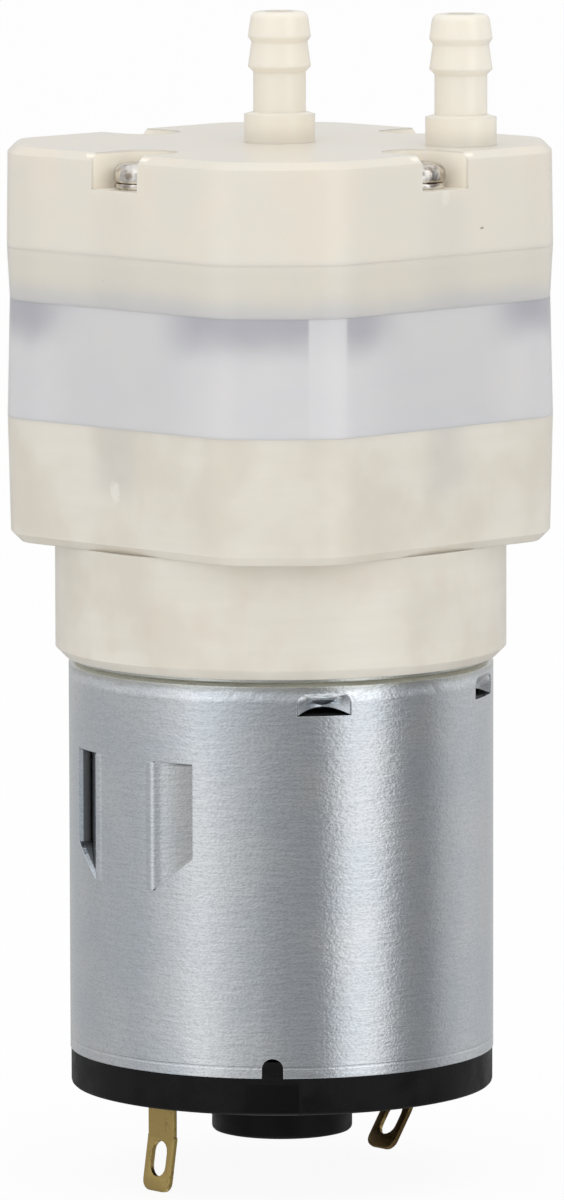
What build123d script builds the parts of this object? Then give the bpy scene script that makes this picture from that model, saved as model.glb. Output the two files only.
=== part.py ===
from build123d import *
import os
from math import asin, atan2, cos, degrees, radians, sin, sqrt

# Diaphragm vacuum pump: four rubber cups on a wobble plate, driven by a small brushed motor.
# Millimetres. The origin is on the motor's axis at the rear edge of its steel can.
# +Z runs towards the hose nozzles, and -Y is the front.

# Clearances
SNUG = 0.02
RUNNING = 0.04
SOFT_GAP = 0.05
SCREW_CLEARANCE = 0.15

# Steel can of the motor
CAN_RADIUS = 12.2
CAN_WALL = 0.8
CAN_LENGTH = 28.65
CAN_EDGE = 1.0
NECK_STEP = 0.25
NECK_BARE = 0.2
CAN_BOSS_RADIUS = 3.1
CAN_BOSS_HEIGHT = 1.75
CAN_BOSS_LIP = 0.45
MOTOR_AZIMUTH = 42.1
NOTCH_WIDTH = 1.2
NOTCH_HEIGHT = 1.14
NOTCH_AZIMUTH = 225.4

# Lances: tabs pressed in from the can's wall, that stop the ends of the magnets
LANCE_HINGE_ANGLE = 11.4
LANCE_FREE_ANGLE = 23.5
LANCE_TOP = 17.8
LANCE_LENGTH = 5.4
LANCE_TIP_LENGTH = 2.0
LANCE_BEND = 21.0

# Louvres: small scoops pressed in from the can's wall, that stop the tops of the magnets
LOUVRE_ANGLE = 30.5
LOUVRE_WIDTH = 3.1
LOUVRE_HEIGHT = 1.3
LOUVRE_BOTTOM = 20.65
LOUVRE_SLIT = 0.3
LOUVRE_DEPTH = 1.0
LOUVRE_SKIN = 0.35

# Magnets and the spring that pushes them apart
MAGNET_BOTTOM = 3.6
MAGNET_THICKNESS = 2.35
MAGNET_END_GAP = 0.7
SPRING_WIRE = 0.9
SPRING_BOTTOM = 5.2
SPRING_TOP = 18.8
SPRING_BEND = 1.5

# Shaft, bearings and armature
SHAFT_RADIUS = 1.0
SHAFT_STICK_OUT = 4.25
BEARING_RADIUS = 2.5
BEARING_LENGTH = 2.4
BEARING_SETBACK = 0.35
END_PLAY = 0.08
WASHER_THICKNESS = 0.4
WASHER_RADIUS = 2.2
CORE_BOTTOM = 6.5
CORE_LENGTH = 12.5
AIR_GAP = 0.4
CORE_HUB_RADIUS = 2.7
POLES = 3
NECK_WIDTH = 2.6
SHOE_THICKNESS = 1.2
SHOE_HALF_ANGLE = 52.0
COIL_WIDTH = 6.0
COIL_OVERHANG = 1.9
COIL_INNER = 3.0
COIL_ROUND = 1.2
SPACER_RADIUS = 1.8

# Commutator and brushes
COMMUTATOR_RADIUS = 2.35
COMMUTATOR_WALL = 0.48
COMMUTATOR_BOTTOM = 0.9
COMMUTATOR_LENGTH = 3.4
COMMUTATOR_GAP = 0.3
RISER_REACH = 0.6
RISER_THICKNESS = 0.4
BRUSH_WIDTH = 1.8
BRUSH_HEIGHT = 1.6
BRUSH_LENGTH = 1.5
ARM_THICKNESS = 0.25
ARM_HEIGHT = 2.0
ARM_BOTTOM = 1.5
ARM_OVERRUN = 0.3

# End cap and solder terminals
CAP_STEP = 0.22
CAP_HEIGHT = 2.15
CAP_FLOOR = 1.5
CAP_EDGE = 0.25
CAP_PLUG_HEIGHT = 2.4
CAP_PLUG_WALL = 0.9
CAP_BOSS_RADIUS = 4.05
CAP_BOSS_HEIGHT = 2.79
CAP_BOSS_WALL = 0.64
CAP_SHAFT_HOLE = 1.3
SHAFT_RECESS = 0.3
TERMINAL_INSET = 2.6
TERMINAL_THICKNESS = 0.5
TERMINAL_WIDTH = 2.4
TERMINAL_NECK = 0.1
TERMINAL_TOP = 3.2
TERMINAL_DROP = 5.2
TERMINAL_CORNER = 0.75
EYELET_WIDTH = 1.0
EYELET_LENGTH = 2.05
EYELET_MARGIN = 0.8
FRONT_BEND = 7.0
FRONT_BEND_DROP = 1.1
REAR_BEND = -30.0
REAR_BEND_DROP = 2.3

# Shared section of the four moulded head shells
HEAD_REACH = 15.45
LOBE_TO_FLAT = 2.37
DRAFT = 0.16
OUTER_CORNER = 3.0
INNER_CORNER = 1.2
HEAD_WALL = 1.6

# Head screws
SCREW_TO_FLAT = 2.33
SCREW_RADIUS = 1.0
SCREW_LENGTH = 18.0
SCREW_HEAD_RADIUS = 1.75
SCREW_HEAD_HEIGHT = 1.1
SCREW_HEAD_BEVEL = 0.4
SCREW_WASHER_RADIUS = 1.72
SCREW_WASHER_THICKNESS = 0.35
PILLAR_RADIUS = 2.7
PILOT_SPARE = 0.8

# Base housing
CUP_WALL = 1.0
CAN_INSERT = 5.9
CUP_HEIGHT = 6.76
CUP_EDGE = 0.55
WEB = 1.5
FLANGE_HEIGHT = 7.16
FLANGE_EDGE = 0.5
MOTOR_SCREW_CIRCLE = 8.5
MOTOR_SCREW_HEAD = 1.9
MOTOR_SCREW_HEAD_HEIGHT = 1.3
MOTOR_SCREW_GRIP = 1.0

# Chamber body and diaphragm
CHAMBER_HEIGHT = 6.72
DECK = 3.2
BORE_TO_FACE = 1.75
BORE_TO_BORE = 2.65
CUP_BORE_CLEARANCE = 0.2
RUBBER_WALL = 0.6
RUBBER_FLANGE = 0.9
RUBBER_RIM = 0.8
RUBBER_CENTRE_INSET = 2.9
CUP_TAPER = 1.2
CUP_FLOOR = 1.2
STEM_RADIUS = 1.0
STEM_BULB = 1.45
STEM_BULB_HEIGHT = 1.3
SOCKET_RADIUS = 3.0
SOCKET_ROOF = 0.5

# Wobble plate and crank
PIVOT_DEPTH = 3.09
TILT = 6.25
BOSS_RADIUS = 2.2
BOSS_ABOVE_PIVOT = 1.0
ARM_PLATE = 1.4
ARM_WIDTH = 3.0
ARM_END_RADIUS = 2.4
ARM_ROOT_RADIUS = 3.2
PIN_RADIUS = 0.75
PIN_CAP = 0.4
HUB_RADIUS = 3.6
HUB_FOOT_RADIUS = 4.2
HUB_FOOT_HEIGHT = 2.6
HUB_FLOOR = 0.4
HUB_GAP = 0.3
HUB_EDGE = 0.3

# Valve plate, valves and gasket
VALVE_PLATE_HEIGHT = 2.98
GASKET_THICKNESS = 0.5
GASKET_INSET = 1.0
GASKET_BRIDGE = 1.0
INLET_OFFSET = 0.7
INLET_DISC = 2.0
INLET_RECESS_MARGIN = 0.35
INLET_RECESS_DEPTH = 0.9
INLET_STEM = 0.55
INLET_BULB = 0.8
INLET_PORT = 0.35
INLET_PORT_CIRCLE = 1.25
INLET_PORTS = 3
VALVE_RIM = 0.2
VALVE_CROWN = 0.45
VALVE_BULB_HEIGHT = 0.9
OUTLET_DISC_GAP = 0.25
OUTLET_STEM = 0.8
OUTLET_BULB = 1.15
OUTLET_RECESS = 1.6
OUTLET_RECESS_DEPTH = 1.25
OUTLET_PORT = 0.5
OUTLET_PORT_INSET = 1.0

# Top cover and hose nozzles
COVER_HEIGHT = 5.78
COVER_TOP_WALL = 1.95
COVER_SIDE_WALL = 1.9
COVER_EDGE = 0.45
PLENUM_WALL = 0.9
PLENUM_TO_INLET = 2.2
POCKET_HALF_WIDTH = 1.85
POCKET_DEPTH = 2.05
NOZZLE_HEIGHT = 7.45
NOZZLE_BORE = 0.8
COLLAR_RADIUS = 2.03
COLLAR_HEIGHT = 1.6
SHANK_RADIUS = 1.5
BARB_RADIUS = 1.8
BARB_NECK = 1.6
BARB_PITCH = 1.72
BARB_STEP = 0.3
BARBS = 2
NOZZLE_TIP_ROUND = 0.4
SIDE_NOZZLE_X = 10.3
SIDE_NOZZLE_Y = -2.7

# Radii that follow the head's and the can's
CUP_CIRCLE = (2 * (HEAD_REACH - BORE_TO_FACE) + BORE_TO_BORE) / (2 + sqrt(2))
CUP_BORE = HEAD_REACH - BORE_TO_FACE - CUP_CIRCLE
CUP_FLOOR_RADIUS = CUP_BORE - CUP_BORE_CLEARANCE - CUP_TAPER
RUBBER_CENTRE = CUP_CIRCLE - RUBBER_CENTRE_INSET
SCREW_CIRCLE = HEAD_REACH - LOBE_TO_FLAT - SCREW_TO_FLAT
INLET_CIRCLE = CUP_CIRCLE + INLET_OFFSET
PLENUM_RADIUS = INLET_CIRCLE - PLENUM_TO_INLET - PLENUM_WALL
OUTLET_DISC = PLENUM_RADIUS - OUTLET_DISC_GAP
OUTLET_PORT_CIRCLE = PLENUM_RADIUS - OUTLET_PORT_INSET
NECK_RADIUS = CAN_RADIUS - NECK_STEP
CAP_RADIUS = CAN_RADIUS - CAP_STEP
TERMINAL_RADIUS = CAN_RADIUS - TERMINAL_INSET

# Heights, each from the pieces below it
CAN_INNER_TOP = CAN_LENGTH - CAN_WALL
CAN_BOSS_TOP = CAN_LENGTH + CAN_BOSS_HEIGHT
CUP_BOTTOM = CAN_LENGTH - CAN_INSERT
SHOULDER_TOP = CUP_BOTTOM - NECK_BARE
SHOULDER_BOTTOM = SHOULDER_TOP - NECK_STEP
FLANGE_BOTTOM = CUP_BOTTOM + CUP_HEIGHT
WEB_TOP = CAN_LENGTH + WEB
BASE_TOP = FLANGE_BOTTOM + FLANGE_HEIGHT
CHAMBER_TOP = BASE_TOP + CHAMBER_HEIGHT
DECK_UNDERSIDE = CHAMBER_TOP - DECK
VALVE_PLATE_TOP = CHAMBER_TOP + VALVE_PLATE_HEIGHT
VALVE_SEAT = VALVE_PLATE_TOP - GASKET_THICKNESS
COVER_TOP = VALVE_PLATE_TOP + COVER_HEIGHT
PLENUM_TOP = COVER_TOP - COVER_TOP_WALL
POCKET_FLOOR = COVER_TOP - POCKET_DEPTH
PIVOT_Z = CHAMBER_TOP - PIVOT_DEPTH
SHAFT_END = CAN_LENGTH + SHAFT_STICK_OUT
CORE_TOP = CORE_BOTTOM + CORE_LENGTH
MAGNET_OUTER = CAN_RADIUS - CAN_WALL - SNUG
MAGNET_INNER = MAGNET_OUTER - MAGNET_THICKNESS
MAGNET_HALF_ANGLE = 90 - LANCE_FREE_ANGLE - MAGNET_END_GAP
CORE_RADIUS = MAGNET_INNER - AIR_GAP
SHOE_INNER = CORE_RADIUS - SHOE_THICKNESS
CAP_FLOOR_TOP = CAP_FLOOR - CAP_HEIGHT
CAP_BOSS_BOTTOM = -CAP_HEIGHT - CAP_BOSS_HEIGHT
REAR_BEARING_BOTTOM = CAP_BOSS_BOTTOM + CAP_BOSS_WALL
REAR_BEARING_TOP = REAR_BEARING_BOTTOM + BEARING_LENGTH
FRONT_BEARING_BOTTOM = CAN_INNER_TOP - BEARING_SETBACK
COMMUTATOR_TOP = COMMUTATOR_BOTTOM + COMMUTATOR_LENGTH
ARM_TOP = -CUP_FLOOR - SOFT_GAP
ARM_UNDERSIDE = ARM_TOP - ARM_PLATE
BALL_SEAT = -(PIVOT_Z - SHAFT_END - HUB_FLOOR) / cos(radians(TILT))
BALL_CENTRE = BALL_SEAT + PIN_RADIUS + SNUG
PIN_BOTTOM = BALL_CENTRE + PIN_RADIUS + RUNNING
PIN_TOP = BOSS_ABOVE_PIVOT - PIN_CAP
HUB_BOTTOM = CAN_BOSS_TOP + HUB_GAP
HUB_TOP = PIVOT_Z + ARM_UNDERSIDE - HUB_RADIUS * sin(radians(TILT)) - HUB_GAP

# Sides of the motor, as azimuths from its own X axis
REAR_SIDE, LEFT_SIDE, FRONT_SIDE, RIGHT_SIDE = 0, 90, 180, 270

# Places
UPRIGHT = (Align.CENTER, Align.CENTER, Align.MIN)
CORNERS = PolarLocations(SCREW_CIRCLE, 4, 45)
CUPS = PolarLocations(CUP_CIRCLE, 4)
QUARTERS = PolarLocations(0, 4)
MOTOR = Rot(0, 0, MOTOR_AZIMUTH)
WOBBLE = Pos(0, 0, PIVOT_Z) * Rot(0, TILT, 0)


def cylinder(radius, bottom, top):
    """Solid cylinder about Z between two heights."""
    return Pos(0, 0, bottom) * Cylinder(radius, top - bottom, align=UPRIGHT)


def tube(outer, inner, bottom, top):
    """Straight tube about Z between two heights."""
    return cylinder(outer, bottom, top) - cylinder(inner, bottom, top)


def turned(*points):
    """Solid turned about Z from its half profile of (radius, height) points."""
    return revolve(Plane.XZ * make_face(Polyline(*points, close=True)), Axis.Z)


def prism(section, bottom, top):
    """Flat section drawn out along Z between two heights."""
    return Pos(0, 0, bottom) * extrude(section, top - bottom)


def sector(radius, half_angle):
    """Wedge about +X, wide enough to cut a ring of the given radius; half angle below 75 degrees."""
    reach = 4 * radius
    x = reach * cos(radians(half_angle))
    y = reach * sin(radians(half_angle))
    return make_face(Polyline((0, 0), (x, -y), (x, y), close=True))


def bottom_edges(solid):
    return solid.faces().sort_by(Axis.Z)[0].edges()


def top_edges(solid):
    return solid.faces().sort_by(Axis.Z)[-1].edges()


# Section and blocks of the pump head


def lobed_section(reach, corner):
    """Rounded square with a lobe on each axis and a flat across each diagonal."""
    side = 2 * (reach - LOBE_TO_FLAT)
    outline = Circle(reach) & Rot(0, 0, 45) * Rectangle(side, side)
    return fillet(outline.vertices(), corner)


def lobed_block(bottom, height, bottom_reach, top_reach):
    """Moulded block whose walls lean by the draft from one reach to the other."""
    lean = degrees(atan2(bottom_reach - top_reach, height))
    return Pos(0, 0, bottom) * extrude(lobed_section(bottom_reach, OUTER_CORNER), height, taper=lean)


def crankcase(bottom, top):
    """Space round the crank, which leaves a pillar for each head screw."""
    room = lobed_section(HEAD_REACH - HEAD_WALL, INNER_CORNER)
    return prism(room - CORNERS * Circle(PILLAR_RADIUS), bottom, top)


def inlet_plenum():
    """Section of the air space between the ring wall, the screw columns and the outer wall."""
    room = lobed_section(HEAD_REACH - COVER_SIDE_WALL, INNER_CORNER)
    room -= Circle(PLENUM_RADIUS + PLENUM_WALL)
    return room - CORNERS * Circle(PILLAR_RADIUS)


def screw_holes(bottom, top):
    """Clearance holes for the four head screws."""
    return CORNERS * cylinder(SCREW_RADIUS + SCREW_CLEARANCE, bottom, top)


def motor_screw_places():
    """Two places opposite each other, turned with the motor."""
    return PolarLocations(MOTOR_SCREW_CIRCLE, 2, MOTOR_AZIMUTH - 45)


def diaphragm_outline(margin):
    """Four rims about the cups, joined by a centre disc."""
    rims = CUPS * Circle(CUP_BORE + RUBBER_RIM + margin)
    return Circle(RUBBER_CENTRE + margin) + rims


def base_housing():
    """Cup that grips the motor, with the crankcase and its screw pillars above."""
    flange = lobed_block(FLANGE_BOTTOM, FLANGE_HEIGHT, HEAD_REACH, HEAD_REACH + DRAFT)
    flange = chamfer(bottom_edges(flange), FLANGE_EDGE)
    cup = cylinder(NECK_RADIUS + CUP_WALL, CUP_BOTTOM, FLANGE_BOTTOM)
    cup = chamfer(bottom_edges(cup), CUP_EDGE)
    body = flange + cup
    body -= cylinder(NECK_RADIUS + SNUG, CUP_BOTTOM, CAN_LENGTH)
    body -= cylinder(CAN_BOSS_RADIUS + SNUG, CAN_LENGTH, WEB_TOP)
    body -= crankcase(WEB_TOP, BASE_TOP)
    pilot_bottom = POCKET_FLOOR + SCREW_WASHER_THICKNESS - SCREW_LENGTH - PILOT_SPARE
    body -= CORNERS * cylinder(SCREW_RADIUS + SNUG, pilot_bottom, BASE_TOP)
    hole = cylinder(SCREW_RADIUS + SCREW_CLEARANCE, CAN_LENGTH, WEB_TOP)
    return body - motor_screw_places() * hole


def chamber_body():
    """Deck with a bore for each rubber cup and a socket for the wobble plate's boss."""
    body = lobed_block(BASE_TOP, CHAMBER_HEIGHT, HEAD_REACH + DRAFT, HEAD_REACH)
    body -= crankcase(BASE_TOP, DECK_UNDERSIDE)
    recess_floor = CHAMBER_TOP - RUBBER_FLANGE
    body -= prism(diaphragm_outline(SOFT_GAP), recess_floor, CHAMBER_TOP)
    body -= CUPS * cylinder(CUP_BORE, DECK_UNDERSIDE, CHAMBER_TOP)
    body -= cylinder(SOCKET_RADIUS, DECK_UNDERSIDE, recess_floor - SOCKET_ROOF)
    return body - screw_holes(BASE_TOP, CHAMBER_TOP)


def diaphragm():
    """Moulded rubber sheet with four cups; each cup's floor and stem sit on the tilted wobble plate."""
    outer = CUP_BORE - CUP_BORE_CLEARANCE
    body = prism(diaphragm_outline(0), CHAMBER_TOP - RUBBER_FLANGE, CHAMBER_TOP)
    hollows = []
    for place in CUPS:
        floor = WOBBLE * place
        outside = [
            Pos(0, 0, CHAMBER_TOP) * place * Circle(outer),
            floor * Pos(0, 0, -CUP_FLOOR) * Circle(CUP_FLOOR_RADIUS),
        ]
        inside = [
            Pos(0, 0, CHAMBER_TOP) * place * Circle(outer - RUBBER_WALL),
            floor * Circle(CUP_FLOOR_RADIUS - RUBBER_WALL),
        ]
        bulb_top = ARM_UNDERSIDE - SOFT_GAP
        stem = turned(
            (0, -CUP_FLOOR),
            (STEM_RADIUS, -CUP_FLOOR),
            (STEM_RADIUS, bulb_top),
            (STEM_BULB, bulb_top),
            (STEM_RADIUS / 2, bulb_top - STEM_BULB_HEIGHT),
            (0, bulb_top - STEM_BULB_HEIGHT),
        )
        body += loft(outside)
        body += floor * stem
        hollows.append(loft(inside))
    return body - hollows


# Crank and wobble plate


def wobble_plate():
    """Cross of four arms about the boss that holds the crank pin."""
    arm = Pos(CUP_CIRCLE / 2, 0) * Rectangle(CUP_CIRCLE, ARM_WIDTH)
    arm += Pos(CUP_CIRCLE, 0) * Circle(ARM_END_RADIUS)
    cross = Circle(ARM_ROOT_RADIUS) + QUARTERS * arm
    plate = prism(cross, ARM_UNDERSIDE, ARM_TOP)
    plate += cylinder(BOSS_RADIUS, ARM_UNDERSIDE, BOSS_ABOVE_PIVOT)
    plate = chamfer(top_edges(plate), HUB_EDGE)
    plate -= CUPS * cylinder(STEM_RADIUS + SOFT_GAP, ARM_UNDERSIDE, ARM_TOP)
    plate -= cylinder(PIN_RADIUS + SNUG, ARM_UNDERSIDE, PIN_TOP + SNUG)
    return WOBBLE * plate


def crank_pin():
    """Straight steel pin on the tilted axis, pressed into the wobble plate."""
    return WOBBLE * cylinder(PIN_RADIUS, PIN_BOTTOM, PIN_TOP)


def thrust_ball():
    """Steel ball that carries the pin's end load."""
    return WOBBLE * Pos(0, 0, BALL_CENTRE) * Sphere(PIN_RADIUS)


def crank_hub():
    """Plastic hub on the shaft, with a slanted hole that turns round the pin."""
    hub = cylinder(HUB_FOOT_RADIUS, HUB_BOTTOM, HUB_BOTTOM + HUB_FOOT_HEIGHT)
    hub += cylinder(HUB_RADIUS, HUB_BOTTOM, HUB_TOP)
    hub = chamfer(top_edges(hub), HUB_EDGE)
    hub -= cylinder(SHAFT_RADIUS + SNUG, HUB_BOTTOM, SHAFT_END + SNUG)
    return hub - WOBBLE * cylinder(PIN_RADIUS + RUNNING, BALL_SEAT, ARM_UNDERSIDE)


# Valves, gasket and cover


def valve_plate():
    """Plate with four inlet and four outlet ports, a recess for the gasket and the valves' seats."""
    plate = lobed_block(CHAMBER_TOP, VALVE_PLATE_HEIGHT, HEAD_REACH, HEAD_REACH + DRAFT)
    recess = lobed_section(HEAD_REACH - GASKET_INSET + SNUG, INNER_CORNER)
    plate -= prism(recess, VALVE_SEAT, VALVE_PLATE_TOP)
    inlet_seat = CHAMBER_TOP + INLET_RECESS_DEPTH
    inlet = PolarLocations(INLET_CIRCLE, 4)
    plate -= inlet * cylinder(INLET_DISC + INLET_RECESS_MARGIN, CHAMBER_TOP, inlet_seat)
    plate -= inlet * cylinder(INLET_STEM + SNUG, inlet_seat, VALVE_SEAT)
    port = cylinder(INLET_PORT, inlet_seat, VALVE_SEAT)
    for place in inlet:
        plate -= [place * spot * port for spot in PolarLocations(INLET_PORT_CIRCLE, INLET_PORTS)]
    plate -= PolarLocations(OUTLET_PORT_CIRCLE, 4) * cylinder(OUTLET_PORT, CHAMBER_TOP, VALVE_SEAT)
    plate -= cylinder(OUTLET_STEM + SNUG, CHAMBER_TOP, VALVE_SEAT)
    plate -= cylinder(OUTLET_RECESS, CHAMBER_TOP, CHAMBER_TOP + OUTLET_RECESS_DEPTH)
    return plate - screw_holes(CHAMBER_TOP, VALVE_PLATE_TOP)


def inlet_valve():
    """Rubber umbrella valve under the plate, held by its bulb above the plate."""
    seat = CHAMBER_TOP + INLET_RECESS_DEPTH
    return turned(
        (0, seat - VALVE_CROWN),
        (INLET_DISC / 2, seat - VALVE_CROWN),
        (INLET_DISC, seat - VALVE_RIM),
        (INLET_DISC, seat),
        (INLET_STEM, seat),
        (INLET_STEM, VALVE_SEAT),
        (INLET_BULB, VALVE_SEAT),
        (INLET_STEM / 2, VALVE_SEAT + VALVE_BULB_HEIGHT),
        (0, VALVE_SEAT + VALVE_BULB_HEIGHT),
    )


def outlet_valve():
    """One wide rubber umbrella over all four outlet ports."""
    under = CHAMBER_TOP + OUTLET_RECESS_DEPTH
    return turned(
        (0, VALVE_SEAT + VALVE_CROWN),
        (OUTLET_DISC / 3, VALVE_SEAT + VALVE_CROWN),
        (OUTLET_DISC, VALVE_SEAT + VALVE_RIM),
        (OUTLET_DISC, VALVE_SEAT),
        (OUTLET_STEM, VALVE_SEAT),
        (OUTLET_STEM, under),
        (OUTLET_BULB, under),
        (OUTLET_STEM / 2, under - VALVE_BULB_HEIGHT),
        (0, under - VALVE_BULB_HEIGHT),
    )


def cover_gasket():
    """Flat seal that follows the cover's walls, so it parts the inlet air from the outlet air."""
    sheet = lobed_section(HEAD_REACH - GASKET_INSET, INNER_CORNER)
    sheet -= Circle(PLENUM_RADIUS)
    sheet -= inlet_plenum()
    reach = SCREW_CIRCLE - PLENUM_RADIUS - PLENUM_WALL / 2
    bridge = Pos(-reach / 2, 0) * Rectangle(reach, GASKET_BRIDGE)
    sheet += CORNERS * bridge
    sheet -= CORNERS * Circle(SCREW_RADIUS + SCREW_CLEARANCE)
    return prism(sheet, VALVE_SEAT, VALVE_PLATE_TOP)


def nozzle():
    """Hose nozzle with a plain collar and barbs, standing on the cover at height zero."""
    points = [
        (0, 0),
        (COLLAR_RADIUS, 0),
        (COLLAR_RADIUS, COLLAR_HEIGHT),
        (SHANK_RADIUS, COLLAR_HEIGHT + BARB_STEP / 2),
    ]
    neck = SHANK_RADIUS
    for barb in range(BARBS, 0, -1):
        foot = NOZZLE_HEIGHT - barb * BARB_PITCH
        points += [(neck, foot), (BARB_RADIUS, foot + BARB_STEP)]
        neck = BARB_NECK
    points += [(neck, NOZZLE_HEIGHT), (0, NOZZLE_HEIGHT)]
    return fillet(top_edges(turned(*points)), NOZZLE_TIP_ROUND)


def top_cover():
    """Cover with two plenums inside, four open screw pockets and the two hose nozzles."""
    body = lobed_block(VALVE_PLATE_TOP, COVER_HEIGHT, HEAD_REACH + DRAFT, HEAD_REACH + DRAFT / 2)
    body = chamfer(top_edges(body), COVER_EDGE)
    body -= prism(inlet_plenum(), VALVE_PLATE_TOP, PLENUM_TOP)
    body -= cylinder(PLENUM_RADIUS, VALVE_PLATE_TOP, PLENUM_TOP)
    pocket = Circle(POCKET_HALF_WIDTH)
    pocket += Pos(HEAD_REACH / 2, 0) * Rectangle(HEAD_REACH, 2 * POCKET_HALF_WIDTH)
    body -= CORNERS * prism(pocket, POCKET_FLOOR, COVER_TOP)
    body -= screw_holes(VALVE_PLATE_TOP, POCKET_FLOOR)
    for place in (Pos(0, 0), Pos(SIDE_NOZZLE_X, SIDE_NOZZLE_Y)):
        body += place * Pos(0, 0, COVER_TOP) * nozzle()
        body -= place * cylinder(NOZZLE_BORE, PLENUM_TOP, COVER_TOP + NOZZLE_HEIGHT)
    return body


# Fasteners


def screw(seat, length, head_radius, head_height):
    """Pan-head screw that hangs from a seat at the given height."""
    tip = seat - length
    return turned(
        (0, tip),
        (SCREW_RADIUS / 2, tip),
        (SCREW_RADIUS, tip + SCREW_RADIUS / 2),
        (SCREW_RADIUS, seat),
        (head_radius, seat),
        (head_radius, seat + head_height - SCREW_HEAD_BEVEL),
        (head_radius - SCREW_HEAD_BEVEL, seat + head_height),
        (0, seat + head_height),
    )


def head_screws():
    seat = POCKET_FLOOR + SCREW_WASHER_THICKNESS
    return CORNERS * screw(seat, SCREW_LENGTH, SCREW_HEAD_RADIUS, SCREW_HEAD_HEIGHT)


def head_washers():
    hole = SCREW_RADIUS + SNUG
    return CORNERS * tube(SCREW_WASHER_RADIUS, hole, POCKET_FLOOR, POCKET_FLOOR + SCREW_WASHER_THICKNESS)


def motor_screws():
    length = WEB + CAN_WALL + MOTOR_SCREW_GRIP
    return motor_screw_places() * screw(WEB_TOP, length, MOTOR_SCREW_HEAD, MOTOR_SCREW_HEAD_HEIGHT)


# Motor


def notch(margin):
    """Round-topped notch in the can's rear edge, drawn as a block through the wall."""
    width = NOTCH_WIDTH - 2 * margin
    straight = NOTCH_HEIGHT - NOTCH_WIDTH / 2
    outline = Pos(0, straight / 2) * Rectangle(width, straight)
    outline += Pos(0, straight) * Circle(width / 2)
    outline &= Pos(0, NOTCH_HEIGHT / 2) * Rectangle(width, NOTCH_HEIGHT)
    start = CAN_RADIUS - 2 * CAN_WALL
    return Rot(0, 0, NOTCH_AZIMUTH) * Pos(start, 0, 0) * extrude(Plane.YZ * outline, 3 * CAN_WALL)


def lance(side):
    """Window in the can's wall and its tab, hinged upright and pressed inwards at the free edge."""
    width = 2 * CAN_RADIUS * sin(radians((LANCE_FREE_ANGLE - LANCE_HINGE_ANGLE) / 2))
    hinge, free = -side * width / 2, side * width / 2
    foot = LANCE_TOP - LANCE_LENGTH
    outline = make_face(
        Polyline(
            (hinge, LANCE_TOP),
            (free, LANCE_TOP),
            (free, foot),
            (hinge, foot - LANCE_TIP_LENGTH),
            close=True,
        )
    )
    turn = Rot(0, 0, 180 + side * (LANCE_HINGE_ANGLE + LANCE_FREE_ANGLE) / 2)
    start = CAN_RADIUS - 2 * CAN_WALL
    window = Pos(start, 0, 0) * extrude(Plane.YZ * outline, 3 * CAN_WALL)
    tab = window & tube(CAN_RADIUS, CAN_RADIUS - CAN_WALL, 0, CAN_LENGTH)
    hinge_line = Pos(CAN_RADIUS - CAN_WALL / 2, hinge, 0)
    tab = hinge_line * Rot(0, 0, side * LANCE_BEND) * hinge_line.inverse() * tab
    return turn * window, turn * tab


def louvre(azimuth):
    """Scoop pressed inwards, deepest at its sheared lower edge: the added pad and the cut."""
    corner = LOUVRE_HEIGHT / 2
    outline = Pos(0, LOUVRE_BOTTOM + LOUVRE_HEIGHT / 2) * Rectangle(LOUVRE_WIDTH, LOUVRE_HEIGHT)
    outline = fillet(outline.vertices().group_by(Axis.Y)[-1], corner)
    skin = LOUVRE_WIDTH + 2 * LOUVRE_SKIN
    pad = Pos(0, LOUVRE_BOTTOM + LOUVRE_SLIT + LOUVRE_HEIGHT / 2) * Rectangle(skin, LOUVRE_HEIGHT)
    pad = fillet(pad.vertices().group_by(Axis.Y)[-1], corner)
    deepest = CAN_RADIUS - LOUVRE_DEPTH
    bump = extrude(Plane.YZ * pad, deepest) - extrude(Plane.YZ * pad, deepest - LOUVRE_SKIN)
    bump += extrude(Plane.YZ * pad, CAN_RADIUS - CAN_WALL / 2) - extrude(Plane.YZ * pad, deepest)
    slope = make_face(
        Polyline(
            (CAN_RADIUS, LOUVRE_BOTTOM + LOUVRE_HEIGHT),
            (deepest, LOUVRE_BOTTOM + LOUVRE_SLIT),
            (deepest - LOUVRE_DEPTH, LOUVRE_BOTTOM + LOUVRE_SLIT),
            (deepest - LOUVRE_DEPTH, LOUVRE_BOTTOM),
            (CAN_RADIUS + CAN_WALL, LOUVRE_BOTTOM),
            (CAN_RADIUS + CAN_WALL, LOUVRE_BOTTOM + LOUVRE_HEIGHT),
            close=True,
        )
    )
    wedge = extrude(Plane.XZ * slope, LOUVRE_WIDTH, both=True)
    cut = extrude(Plane.YZ * outline, CAN_RADIUS + CAN_WALL) & wedge
    return Rot(0, 0, azimuth) * bump, Rot(0, 0, azimuth) * cut


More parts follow.
